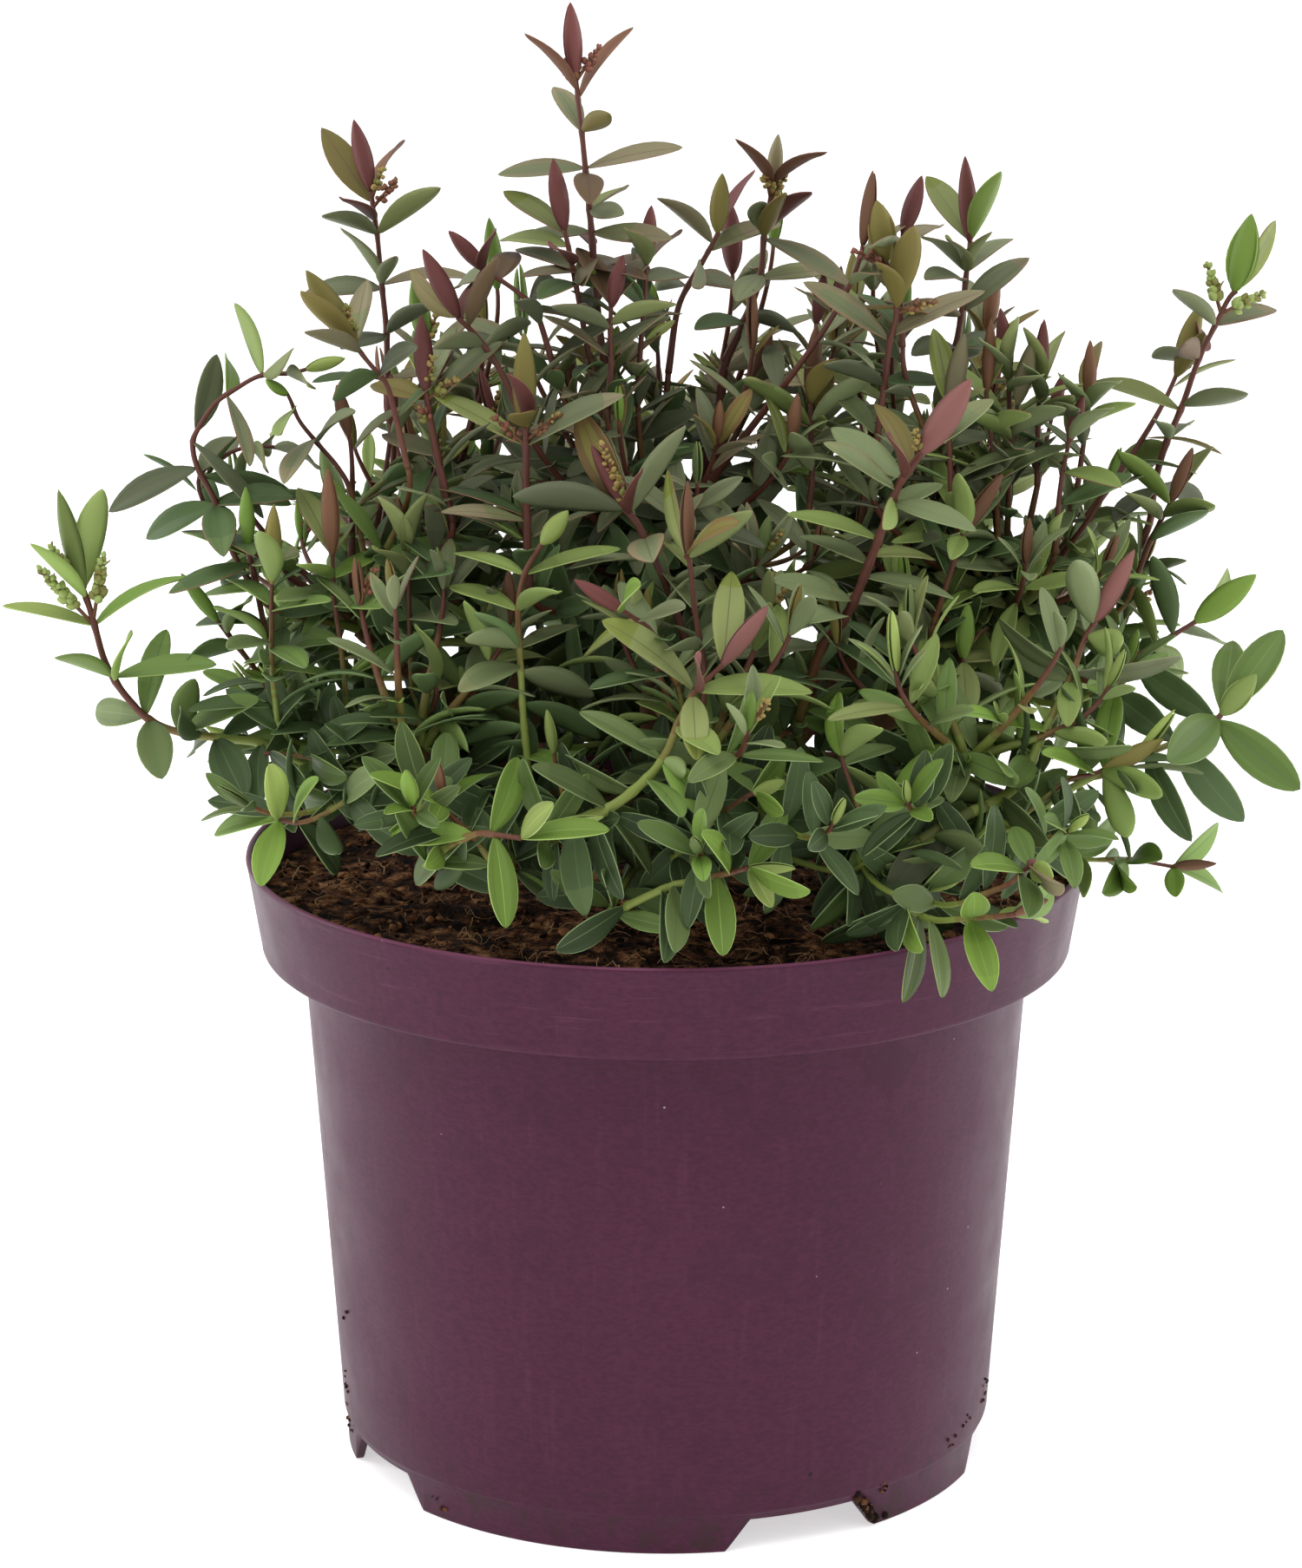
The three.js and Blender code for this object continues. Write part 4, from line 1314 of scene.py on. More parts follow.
S foliage_front -58 -52 .9 .55 r | 800,880 812,790 808,750 800,700 795,650 790,640
T 791,553 17 R
L 769,541 787,640 20 M b
L 867,588 793,642 28 M f
L 852,602 790,640 12 O
L 754,617 795,655 10 M
L 764,660 797,702 16 G
L 838,698 800,700 12 G
L 768,748 807,745 18 G
L 862,742 808,750 20 G
A 0 .2 DG 8 18
S foliage_front -56 -60 .8 .5 n | 780,790 752,730 730,712 718,704
T 661,667 17 P
L 738,674 718,703 8 Y
L 671,758 735,718 14 M
L 790,700 735,715 14 G
A 0 .5 DG 8 18
S foliage_front -58 -56 .7 .45 g | 655,940 642,890 638,866
T 630,817 12 Y
L 598,868 640,880 20 M b
L 668,866 641,885 16 M
A 0 .5 DG 8 18
"""


def read_shoots(text):
    out = []
    for line in text.strip().splitlines():
        w = line.replace("|", " ").split()
        if not w:
            continue

        def place(k):
            a, b = w[k].split(",")
            return float(a), float(b)

        if w[0] == "S":
            out.append(dict(mass=w[1], y0=float(w[2]), y1=float(w[3]), r0=float(w[4]), r1=float(w[5]), style=w[6],
                            pts=[place(k) for k in range(7, len(w))], T=[], L=[], B=[], A=None))
        elif w[0] == "T":
            out[-1]["T"].append((place(1), float(w[2]), w[3]))
        elif w[0] == "L":
            side = None
            length = None
            for extra in w[5:]:
                if extra in "fb":
                    side = extra == "f"
                else:
                    length = float(extra)
            out[-1]["L"].append((place(1), place(2), float(w[3]), w[4], side, length))
        elif w[0] == "B":
            out[-1]["B"].append((place(1), place(2), {"g": "bud_green", "y": "bud_yellow", "p": "bud_pink", "b": "bud_brown", "m": "bud_fresh"}.get(w[3]) if len(w) > 3 else None))
        elif w[0] == "A":
            out[-1]["A"] = (float(w[1]), float(w[2]), w[3], float(w[4]), float(w[5]))
    return out


def rim_for(tint, p):
    """High in the crown many leaves have a red-brown margin and midrib; low down it is pale."""
    z = p[2]
    if tint in "GEMD" and z < (178 if p[0] < 20 else 205) and rnd.random() < 0.75:
        return "pale"
    if tint in "GHMNCOD" and z > 185 and rnd.random() < min(0.75, (z - 175) / 70):
        return "R" if tint != "M" else "O"
    return None


def grade_for(tint, p):
    """Some leaves turn olive or purple-brown towards the tip, most of all high in the crown."""
    z = p[2] - (22 if p[0] > 20 or p[0] < -52 and p[2] < 205 else 0)
    if tint in GRADES and rnd.random() < (0.04 if z < 165 else 0.25 if z < 190 else 0.4):
        return GRADES[tint]
    return None


def painted_shade_of(tint, p, near=False):
    """Painted shade: steps by which a leaf is made darker low in the crown, where shade falls. High in the crown the
    steps are negative and make it lighter, most on the right side: painted light that lifts the shade inside the crown.
    """
    if p[2] > 157:
        if p[2] > 224 or p[0] > 88 or tint in "PRQVUOJY":
            return 0
        return (-3 if tint in "DEGLMCN" else -2) if p[0] > 15 else -2 if tint in "DEMCN" else -1
    if near and tint in "GE":
        return 1
    if tint in "DGE":
        return (3 if int(p[0] * 7) % 2 and -35 < p[0] < 30 else 2) if -58 < p[0] < 20 or p[2] < 140 else 1
    return 0


def zoned(tint, p):
    """The greens are greyer and duller towards the top of the crown, and fresher at its foot. On its right side they
    are fresher and lighter, partly their own tint and partly painted light that lifts the shade inside the crown there.
    """
    z = p[2] - (25 if p[0] < -52 and p[2] < 205 else 0)
    # right side of the crown: lighter tints, partly painted light
    fresh = p[0] > 20 and z < 222
    if tint == "V":
        return "U" if z > 212 else "V"
    if tint == "O":
        return "J" if z > 212 else "O"
    if tint == "Y" and z > 165:
        return "B"
    if tint == "M" and 165 < z <= (215 if fresh else 186):
        return "C" if rnd.random() < (0.7 if fresh else 0.5) else "N"
    if tint == "G" and fresh and z > 170:
        return "H" if rnd.random() < 0.15 else "C" if rnd.random() < 0.2 else "L"
    if tint == "G" and z < 166 and rnd.random() < 0.6:
        return "E"
    if tint == "G" and z > 176 and rnd.random() < 0.3 + (z - 176) / 30:
        return "V" if z > 205 and rnd.random() < 0.3 else "H"
    if tint == "D" and z > 190 and rnd.random() < 0.6:
        return "I"
    if tint == "G" and z > 168:
        return "L"
    if tint == "B" and z > 160:
        return "C"
    if tint == "M" and z > 186:
        return "N"
    return tint


FLANKS = {"G": "X", "L": "X", "H": "V", "M": "W", "N": "W", "O": "Z"}


def flank_for(tint, p):
    """High up many leaves are browner along both sides than in the middle."""
    z = p[2] - (22 if p[0] > 20 or p[0] < -52 and p[2] < 205 else 0)
    if tint in FLANKS and z > 172 and rnd.random() < min(0.5, (z - 165) / 60):
        return FLANKS[tint]
    return None


def ends(z):
    """Outline of a leaf: blunt low in the crown, more pointed high up."""
    k = min(1.0, max(0.0, (z - 160) / 45))
    return 0.82 + 0.06 * k + rnd.uniform(-0.05, 0.05), 0.70 + 0.12 * k + rnd.uniform(-0.05, 0.05)


def leaf_seen(base, axis, tip_uv, width_px, tint, front, length):
    """A leaf whose tip and width are given as they are seen."""
    tint = zoned(tint, base)
    ub, vb = seen(base)
    scale = FOCAL / float(np.linalg.norm(base - EYE))
    vis = math.hypot(tip_uv[0] - ub, tip_uv[1] - vb) / scale
    full = length if length else 18.5
    full = max(full, vis * 1.03)
    if front is None:
        front = rnd.random() < 0.5
    tip = at_length(tip_uv[0], tip_uv[1], base, full, front)
    tip = clear_of_pot(tip, base)
    c = unit(tip - base)
    view = unit(EYE - (base + tip) / 2)
    face = across(view, c)
    nat = across(axis, c)
    a0 = math.atan2(float(np.cross(face, nat) @ c), float(face @ nat))
    w_nat = 0.315 * full if full > 12 else 0.4 * full
    w_seen = width_px / scale
    ratio = min(1.0, w_seen / w_nat)
    at = math.acos(ratio)
    best = None
    for cand in (at, -at, math.pi - at, at - math.pi):
        d = (cand - a0 + math.pi) % (2 * math.pi) - math.pi
        if best is None or abs(d) < abs(best):
            best = d
    d = max(-1.15, min(1.15, best))
    a = a0 + d
    n = turn(face, c, a)
    if base[2] < (180 if base[0] > 70 else 157) and float(n @ view) < 0 and int(tip_uv[0]) % 4:
        n = -n
    got = w_nat * abs(math.cos(a))
    w = w_nat
    if got > 0.1:
        w = w_nat * max(0.72, min(1.4, w_seen / got))
    bend = rnd.uniform(0.02, 0.08)
    pq = ends(base[2])
    add_leaf(leaves[mass_at((base + tip) / 2)], base, tip, n, w, tint, arch=bend, cup=rnd.uniform(0.06, 0.16), fold=rnd.uniform(0.05, 0.15),
             twist=rnd.uniform(-0.25, 0.25), form=FINE, rim=rim_for(tint, base), grade=grade_for(tint, base),
             p=pq[0], q=pq[1], painted_shade=painted_shade_of(tint, base, True), flank=flank_for(tint, base))
    mark_leaf(base, tip, n, w)
    return tip


def hero(sh):
    p2 = np.array(sh["pts"])
    s2 = np.concatenate([[0], np.cumsum(np.linalg.norm(np.diff(p2, axis=0), axis=1))])
    f = s2 / s2[-1]
    pts = [at_y(u, v, sh["y0"] + (sh["y1"] - sh["y0"]) * k) for (u, v), k in zip(p2, f)]
    path, s = smooth_path(pts, 0.9)
    tan = tangents(path)
    uv = np.array([seen(p) for p in path])
    radii = np.linspace(sh["r0"], sh["r1"], len(path))
    used = []
    end = path[-1]
    for tip_uv, width, tint in sh["T"]:
        t3 = at_y(tip_uv[0], tip_uv[1], sh["y1"])
        scale = FOCAL / float(np.linalg.norm(end - EYE))
        folded_tip(mass_at((end + t3) / 2), end - tan[-1] * 0.6, tan[-1], t3, width / scale, tint)
        mark_leaf(end, t3, unit(EYE - end), width / scale)
    for tip_uv, base_uv, width, tint, front, length in sh["L"]:
        i = int(np.argmin((uv[:, 0] - base_uv[0]) ** 2 + (uv[:, 1] - base_uv[1]) ** 2))
        used.append(s[i])
        leaf_seen(path[i], tan[i], tip_uv, width, tint, front, length)
    for tip_uv, base_uv, kind in sh["B"]:
        i = int(np.argmin((uv[:, 0] - base_uv[0]) ** 2 + (uv[:, 1] - base_uv[1]) ** 2))
        t3 = at_y(tip_uv[0], tip_uv[1], path[i][1] + rnd.uniform(-2.5, 1.0))
        bud_cluster(sh["mass"], path[i], t3, kind)
    first = min(used) if used else 0.0
    thick = sh["r0"] > 1.15
    for p, d in zip(path, s):
        if d > first - 4 or thick:
            mark(p + np.array([0, 1.0 if thick else 4.0, 0]), 1 if thick else 0)
    merged = []
    for n in sorted(used):
        if not merged or n - merged[-1] > 2.0:
            merged.append(n)
    draw_stem(sh["mass"], path, s, radii, merged, sh["style"])
    sh["path"], sh["s"], sh["used"] = path, s, merged
    TIPS.append(path[-1])


TIPS = []
heroes = read_shoots(SHOOTS)
for sh in heroes:
    hero(sh)


def over_soil(p):
    """True where a leaf in front would hide the open growing medium or hang over the rim."""
    if p[1] > 0:
        return False
    u, v = seen(p)
    return v > float(np.interp(u, [290, 340, 420, 520, 640, 760, 1000, 1180, 1240], [985, 950, 962, 1005, 1045, 1080, 1092, 1080, 1050]))


# Where the sky shows through the crown: places in the frame with half-width and half-height.
OPENINGS = np.array([
    (261, 741, 25, 30), (287, 700, 12, 30), (250, 700, 14, 16), (242, 645, 12, 12), (219, 735, 18, 18), (190, 800, 14, 18), (217, 776, 10, 9),
    (466, 344, 20, 22), (405, 538, 15, 22), (386, 496, 13, 13), (354, 554, 15, 16), (424, 474, 12, 12), (410, 483, 9, 9), (379, 513, 9, 9),
    (568, 343, 16, 14), (580, 372, 20, 8), (500, 366, 11, 14), (637, 345, 18, 14), (606, 330, 14, 14), (456, 518, 14, 9), (364, 526, 10, 11),
    (332, 606, 9, 17), (362, 645, 14, 6), (411, 736, 17, 6), (456, 788, 18, 9), (521, 751, 10, 14), (429, 346, 10, 18), (421, 394, 9, 18),
    (1074, 256, 16, 42), (968, 240, 26, 48), (965, 300, 12, 16), (1056, 409, 13, 15), (1090, 376, 13, 18), (1084, 334, 24, 14), (1066, 447, 13, 9),
    (854, 266, 14, 14), (866, 290, 9, 12), (838, 298, 12, 8), (816, 333, 18, 16), (786, 386, 18, 9), (826, 374, 16, 12), (772, 424, 12, 14), (779, 329, 9, 11),
    (900, 350, 20, 15), (922, 302, 13, 11), (896, 302, 9, 14), (881, 372, 8, 8), (862, 492, 14, 7), (800, 543, 16, 9), (894, 643, 11, 8),
    (1267, 534, 15, 12), (1278, 580, 15, 8), (1186, 576, 20, 10), (1164, 608, 18, 6), (1280, 488, 22, 14), (1270, 461, 15, 12), (1335, 473, 14, 12), (1300, 462, 16, 12),
    (1330, 803, 18, 14), (1354, 825, 15, 12), (1376, 752, 16, 14), (1331, 696, 9, 20), (1307, 841, 12, 8), (1338, 957, 22, 30),
    (261, 566, 10, 12), (1000, 464, 7, 7), (295, 604, 9, 10), (733, 520, 7, 7), (850, 539, 8, 6), (525, 498, 11, 5), (419, 628, 7, 7),
    (230, 524, 5, 12), (757, 280, 6, 9), (732, 270, 6, 9), (523, 327, 9, 6), (443, 534, 8, 7), (562, 464, 7, 7), (900, 579, 12, 6),
    (229, 609, 9, 9), (296, 474, 22, 25), (256, 486, 17, 15), (658, 227, 8, 26), (777, 302, 13, 12), (1079, 307, 14, 10), (632, 284, 22, 11), (311, 536, 15, 14),
    (329, 507, 12, 7), (540, 300, 14, 14), (558, 268, 14, 12), (1340, 385, 14, 16), (1290, 440, 16, 12), (1345, 625, 14, 14), (990, 268, 12, 14),
], float)


def in_opening(p, pad):
    u, v = seen(p)
    return bool(((((u - OPENINGS[:, 0]) / (OPENINGS[:, 2] + pad)) ** 2 + ((v - OPENINGS[:, 1]) / (OPENINGS[:, 3] + pad)) ** 2) < 1).any())


def allowed(base, tip, grow=1.06):
    if over_soil(tip) or not inside(tip, grow) or not inside((base + tip) / 2, grow):
        return False
    if covers(base, tip):
        return False
    return not any(in_opening(base + (tip - base) * t, 6.5) for t in (0.15, 0.4, 0.65, 0.95))


def grown_leaf(base, axis, radial, theta, length, tint, droop=0.0, arch=None, grow=1.06, width=None, form=None, young=True):
    th = math.radians(theta)
    d = unit(axis * math.cos(th) + radial * math.sin(th) + np.array([0, 0, -droop]))
    tip = clear_of_pot(base + d * length, base)
    if not allowed(base, tip, grow):
        return False
    up = turn(unit(axis * math.sin(th) - radial * math.cos(th) + np.array([0, 0, 0.25])), d, rnd.gauss(0, 0.3))
    slim = 0.262 if base[2] > 185 else 0.28 if base[2] > 160 else 0.31
    tint = zoned(tint, base)
    pq = ends(base[2])
    add_leaf(leaves[mass_at((base + tip) / 2)], base, tip, up, width or length * slim * rnd.uniform(0.92, 1.12), tint,
             arch=rnd.uniform(0.03, 0.10) if arch is None else arch, cup=rnd.uniform(0.06, 0.16), fold=rnd.uniform(0.06, 0.16),
             twist=rnd.uniform(-0.35, 0.35), form=form or GOOD, rim=rim_for(tint, base), grade=grade_for(tint, base) if young else None,
             p=pq[0], q=pq[1], painted_shade=painted_shade_of(tint, base), flank=flank_for(tint, base) if young else None)
    return True


def pairs_along(path, s, places, tints, length, grow=1.06, phase=None, young=True):
    """Opposite pairs at the given distances from the tip. tints(distance) gives a palette."""
    tan = tangents(path)
    phase = rnd.random() * math.pi if phase is None else phase
    made = 0
    for k, dist in enumerate(places):
        at = s[-1] - dist
        if at < 1.0:
            break
        i = min(max(int(np.searchsorted(s, at)), 1), len(path) - 2)
        axis = tan[i]
        u = across(np.array([0.2, 1.0, 0.0]), axis)
        tint = pick(tints(dist))
        for h in range(2):
            r = turn(u, axis, phase + k * math.pi / 2 + h * math.pi + rnd.uniform(-0.2, 0.2))
            theta = 30 + (46 if path[i][2] > 168 else 55) * (1 - math.exp(-dist / 9.5)) + rnd.uniform(-9, 9)
            ll = length * (0.66 + 0.34 * (1 - math.exp(-dist / 8))) * rnd.uniform(0.88, 1.08)
            leaf_tint = tint if rnd.random() < 0.7 else pick(tints(dist))
            # where a leaf finds no room it turns a little, or stays shorter
            for swing, size in ((0.0, 1.0), (0.45, 0.94), (-0.45, 0.94), (0.2, 0.74), (-0.8, 0.8)):
                rr = turn(r, axis, swing)
                if grown_leaf(path[i] + rr * 0.4, axis, rr, theta - 6 * abs(swing), ll * size, leaf_tint,
                              droop=0.0 if dist < 30 else 0.12, grow=grow, form=GOOD if dist < 20 else MIDDLE, young=dist < 9):
                    made += 1
                    break
        if young and dist > 14 and rnd.random() < 0.25:
            g = rnd.choice((0, math.pi))
            r = turn(u, axis, phase + k * math.pi / 2 + g)
            for q in (0.8, -0.8):
                rr = turn(r, axis, q)
                grown_leaf(path[i] + r * 0.8, unit(axis + r * 0.9), rr, 28, rnd.uniform(5, 9), pick("MBY"), grow=grow, arch=0.0)
    return made


def rise_to(mass, point, direction, r_end):
    """Stem from the boughs to a point, arriving along direction."""
    a, ta, ra = attach(mass, point, direction)
    d = float(np.linalg.norm(point - a))
    bow = 0.24 if point[2] > 180 else 0.38
    c1 = a + unit(ta + np.array([0, 0, 0.3])) * d * bow
    c2 = point - direction * d * bow
    pts = bezier(a, c1, c2, point, max(6, int(d / 2.0)))
    for p in pts:
        r = math.hypot(p[0], p[1])
        if p[2] < SOIL_Z + 3 and r < 86:
            p[2] = SOIL_Z + 3
        if 79.5 < r < 88 and p[2] < 128.4:
            p[2] = 128.4
    path, s = smooth_path(list(pts), 1.7)
    radii = np.interp(s, [0, s[-1] * 0.5, s[-1]], [min(1.5, ra * 0.8), max(r_end, 0.95), r_end])
    return path, s, radii


def stem_colours(s, style, above, zs):
    """Ring colours of a branch from the boughs to its end, which is `above` mm below the shoot's tip."""
    return stem_ids(s[-1] - s + above, style, zs)


# lower parts of the shoots above, and the branches that carry them
for sh in heroes:
    path, s = sh["path"], sh["s"]
    lo, hi, palette, spacing, length = sh["A"]
    if hi > lo:
        want = [s[-1] - x for x in np.arange(lo * s[-1] + 2, hi * s[-1], spacing * 0.9) if all(abs(x - n) > 3.0 for n in sh["used"])]
        pairs_along(path, s, sorted(want), lambda d, p=palette: p, length, grow=1.5)
    start = tangents(path)[0]
    direction = unit(start * 0.8 + np.array([0, 0, 0.25]) + unit(path[0] - np.array([0, 0, 120.0])) * 0.35)
    br, bs, rad = rise_to(sh["mass"], path[0], direction, sh["r0"] * 0.8)
    add_tube(twigs[sh["mass"]], br, rad * 0.8, 7, stem_colours(bs, sh["style"], s[-1], br[:, 2]), phase=rnd.random())
    pairs_along(br, bs, [d for d in np.arange(4, 52, 7.0)], lambda d: "DDG", 17.5, grow=1.3)


# ------------------------------------------------------------------ the rest of the crown
CROWN = np.array([0.0, 2.0, 138.0])
BODIES = [m for m in NAMES if m.startswith("foliage_")]


def surface_tips():
    """Places all over the outside of the crown, apart from where a shoot already ends."""
    found = []
    for m in BODIES:
        c, r = MASSES[m]
        n = 520
        for i in range(n):
            z = 1 - 2 * (i + 0.5) / n
            a = i * 2.399963 + 0.3
            q = math.sqrt(max(0.0, 1 - z * z))
            d = np.array([math.cos(a) * q, math.sin(a) * q, z])
            p = c + r * d
            nrm = unit(d / r)
            if nrm[2] < (-0.62 if p[1] > -12 else -0.30) or p[2] < 130:
                continue
            if float(np.delete(np.linalg.norm((p - CENTRES) / HALVES, axis=1), NAMES.index(m)).min()) < 0.97:
                continue
            found.append((m, p, nrm))
    rnd.shuffle(found)
    chosen = []
    for m, p, nrm in found:
        gap = 12.5
        if p[1] < 16 and p[2] > 160:
            gap = 15.5 if p[0] < -10 else 14.0
        if p[1] < 10 and p[0] < -78 and p[2] > 150:
            gap = 20.0
        if all(np.linalg.norm(p - q[1]) > gap for q in chosen) and all(np.linalg.norm(p - t) > 10.5 for t in TIPS):
            chosen.append((m, p, nrm))
    return chosen


def tone(z):
    """Tints of the young pairs at a height: purple at the top of the crown, green at its foot."""
    if z > 205:
        return "PROGM", "OGGGN"
    if z > 180:
        return "ROMGG", "GGGM"
    if z > 160:
        return "YMMRO", "MGG"
    return "YBMGG", "MGGD"


filler_count = 0
for m, p, nrm in surface_tips():
    p = p - nrm * rnd.uniform(0.5, 5.5)
    if p[2] > 192:
        p = p + np.array([0, 0, rnd.uniform(0.0, 14.0)])
    low = min(1.0, max(0.0, (172 - p[2]) / 40))
    direction = unit(nrm * (0.2 + 0.85 * low) + np.array([0, 0, 1.0 - 0.45 * low]) + unit(p - CROWN) * 0.2 + np.array([rnd.uniform(-0.16, 0.16), rnd.uniform(-0.16, 0.16), 0]))
    tips, mids = tone(p[2])
    u, v = seen(p)
    tip_len = rnd.uniform(6.5, 12)
    if p[1] < 25 and (covers(p - direction * 14, p + direction * tip_len * 0.5) or over_soil(p)):
        continue
    if in_opening(p, 2.0) or in_opening(p + direction * tip_len * 0.6, 2.0):
        continue
    path, s, radii = rise_to(m, p, direction, 0.5)
    add_tube(twigs[m], path, radii * 0.8, 7, stem_ids(s[-1] - s, "r" if p[2] > 190 else "n" if p[2] > 160 else "g", path[:, 2]), phase=rnd.random())
    tint = pick(tips)
    folded_tip(m, path[-1] - direction * 0.5, direction, path[-1] + direction * tip_len, tip_len * rnd.uniform(0.22, 0.3), tint, azimuth=rnd.uniform(-1.5, 1.5))
    places = [1.6, 4.8, 9.6, 15.6, 22.4, 29.6, 37, 44.5] if p[2] > 165 and p[1] < 16 else [1.6, 4.6, 9, 14.5, 20.5, 27, 34, 41, 48]
    pairs_along(path, s, places, lambda d, a=mids: a if d < 7 else ("DDG" if low > 0.2 else "GM" + a) if d < 13 else ("GGMC" if p[0] > 20 and p[2] > 160 else "DDDG" if low > 0.2 else "DGGG"), 17.2, grow=1.22)
    if rnd.random() < 0.18 and p[2] > 170:
        bud_cluster(m, path[-1], path[-1] + unit(direction + across(np.array([1, 0.3, 0]), direction) * 0.6) * rnd.uniform(6, 8))
    TIPS.append(path[-1])
    filler_count += 1

for m, n in (("shoots_back_peak", 4), ("shoots_back_left_peak", 4), ("shoots_back_right_peak", 4), ("shoots_back_low", 3),
             ("shoots_inner_left", 4), ("shoots_inner_right", 4), ("shoots_right_under", 1), ("shoots_right_arm", 1), ("shoots_top_middle", 1), ("shoots_middle_right", 1)):
    c, r = MASSES[m]
    for k in range(n):
        a = 2 * math.pi * (k + rnd.random() * 0.5) / n
        rr = 0.0 if k == 0 else 0.62
        out = unit(np.array([c[0], c[1], 0.0]))
        top = np.array([math.cos(a) * rr * r[0], math.sin(a) * rr * r[1], r[2] * (0.45 if k == 0 else rnd.uniform(-0.1, 0.3))])
        if m in ("shoots_back_low", "shoots_left_low", "shoots_right_under"):
            top = np.array([(k - (n - 1) / 2) * r[0] * 0.75, 0, 0]) + out * r[1] * 0.3
            direction = unit(out * 0.9 + np.array([0, 0, 0.5]))
        else:
            direction = unit(np.array([0, 0, 1.0]) + out * 0.16 + top * 0.012)
            if m == "shoots_right_arm":
                direction = unit(np.array([0.35, 0.25, 1.0]))
                top = np.array([-6.0, 9.0, -6.0])
        p = c + top
        if p[1] < 20 and covers(p - direction * 10, p + direction * 8) or in_opening(p + direction * 6, 2.0):
            continue
        path, s, radii = rise_to(m, p, direction, 0.55)
        add_tube(twigs[m], path, radii * 0.8, 8, stem_ids(s[-1] - s, "r" if p[2] > 190 else "n", path[:, 2]), phase=rnd.random())
        tips, mids = tone(p[2])
        tip_len = min(14.5, max(7.0, (c[2] + r[2]) - p[2] + 1.5)) if p[2] > 170 else 12.0
        folded_tip(m, path[-1] - direction * 0.5, direction, path[-1] + direction * tip_len, rnd.uniform(3.2, 4.4), pick(tips), azimuth=rnd.uniform(-1.5, 1.5))
        pairs_along(path, s, [1.6, 5, 10, 16, 22.5, 29.5, 36.5, 43.5, 51, 58], lambda d, a=mids: a if d < 8 else "GM" + a if d < 20 else "DGG", 18.5, grow=1.3)
        if rnd.random() < 0.4 and p[2] > 170:
            bud_cluster(m, path[-1], path[-1] + unit(direction + across(np.array([1, 0.3, 0]), direction) * 0.55) * 7)

# ------------------------------------------------------------------ pot
NOTCHES = [(12.2, 36.5), (69.6, 94.0), (127.0, 151.0), (213.0, 237.0), (287.6, 310.4)]


def notch_height(theta):
    """Height of the foot's cut-outs at an angle, in degrees from the front towards +X."""
    h = 0.0
    for a, b in NOTCHES:
        if a - 2.2 < theta < b + 2.2:
            k = min((theta - a + 2.2) / 4.4, (b + 2.2 - theta) / 4.4, 1.0)
            h = max(h, 6.5 * min(1.0, max(0.0, k)))
    return h


OUTER = [(65.6, 0.0), (65.95, 0.15), (66.0, 0.45), (66.25, 7.5), (66.45, 7.75), (66.75, 8.05), (66.85, 8.5), (67.6, 20), (69.05, 41), (70.5, 62), (71.95, 83), (72.9, 96.5), (73.45, 104.5),
         (73.65, 105.6), (74.0, 106.25), (74.8, 106.5), (78, 106.6), (80.6, 106.65), (81.35, 106.75), (81.75, 107.05), (81.92, 107.5), (82.0, 108.2), (82.7, 112.4), (83.4, 116.8),
         (84.1, 121.2), (84.7, 124.6), (84.85, 125.15), (84.78, 125.55), (84.5, 125.78), (84.15, 125.85), (83.85, 125.75), (83.65, 125.45), (83.5, 124.6), (82.4, 118), (80.9, 109.2), (80.6, 108.3), (79.8, 107.85),
         (76.5, 107.6), (73.6, 107.3), (72.7, 106.7), (72.3, 105.6), (70.4, 80), (68.0, 45), (65.2, 10), (64.7, 8.6), (63.6, 8.2), (0.0, 8.2)]
INNER = [(0.0, 7.0), (62.0, 7.0), (64.0, 6.9), (64.3, 6.6), (64.35, 0.45), (64.5, 0.12), (64.8, 0.0)]
N = 720
pot = Soup()
rings = OUTER[:-1] + INNER[1:]
ang = np.arange(N) / N * 2 * math.pi
lift = np.array([notch_height(math.degrees(a)) for a in ang])
ring_v = []
for r, z in rings:
    zz = np.full(N, z)
    if z < 6.6:
        zz = np.maximum(zz, lift + (z * 0.03 if z < 0.5 else 0))
    ring_v.append(np.stack([r * np.sin(ang), -r * np.cos(ang), zz], axis=1))
verts = np.concatenate(ring_v + [np.array([[0, 0, 8.2]]), np.array([[0, 0, 7.0]])])
nr = len(rings)
top_end = len(OUTER) - 2          # last outer ring before the floor's middle
q = []
j = np.arange(N)
k = (j + 1) % N
for i in range(nr):
    a, b = i, (i + 1) % nr
    if i == top_end:
        continue
    q.append(np.stack([a * N + j, a * N + k, b * N + k, b * N + j], axis=1))
c0, c1 = nr * N, nr * N + 1
tri = np.concatenate([np.stack([np.full(N, c0), top_end * N + j, top_end * N + k], 1), np.stack([np.full(N, c1), (top_end + 1) * N + k, (top_end + 1) * N + j], 1)])
q = np.concatenate(q)


def nodes_of(m):
    return m.node_tree.nodes, m.node_tree.links, m.node_tree.nodes["Principled BSDF"]


def noise_node(nd, ln, coord, scale, detail=4.0, rough=0.55, stretch=None):
    t = nd.new("ShaderNodeTexNoise")
    t.inputs["Scale"].default_value = scale
    t.inputs["Detail"].default_value = detail
    t.inputs["Roughness"].default_value = rough
    if stretch:
        mp = nd.new("ShaderNodeMapping")
        mp.inputs["Scale"].default_value = stretch
        ln.new(coord.outputs["Object"], mp.inputs["Vector"])
        ln.new(mp.outputs["Vector"], t.inputs["Vector"])
    else:
        ln.new(coord.outputs["Object"], t.inputs["Vector"])
    return t


def ramp(nd, ln, src, stops):
    r = nd.new("ShaderNodeValToRGB")
    el = r.color_ramp.elements
    el[0].position, el[0].color = stops[0]
    el[1].position, el[1].color = stops[-1]
    for pos, col in stops[1:-1]:
        e = el.new(pos)
        e.color = col
    ln.new(src, r.inputs["Fac"])
    return r


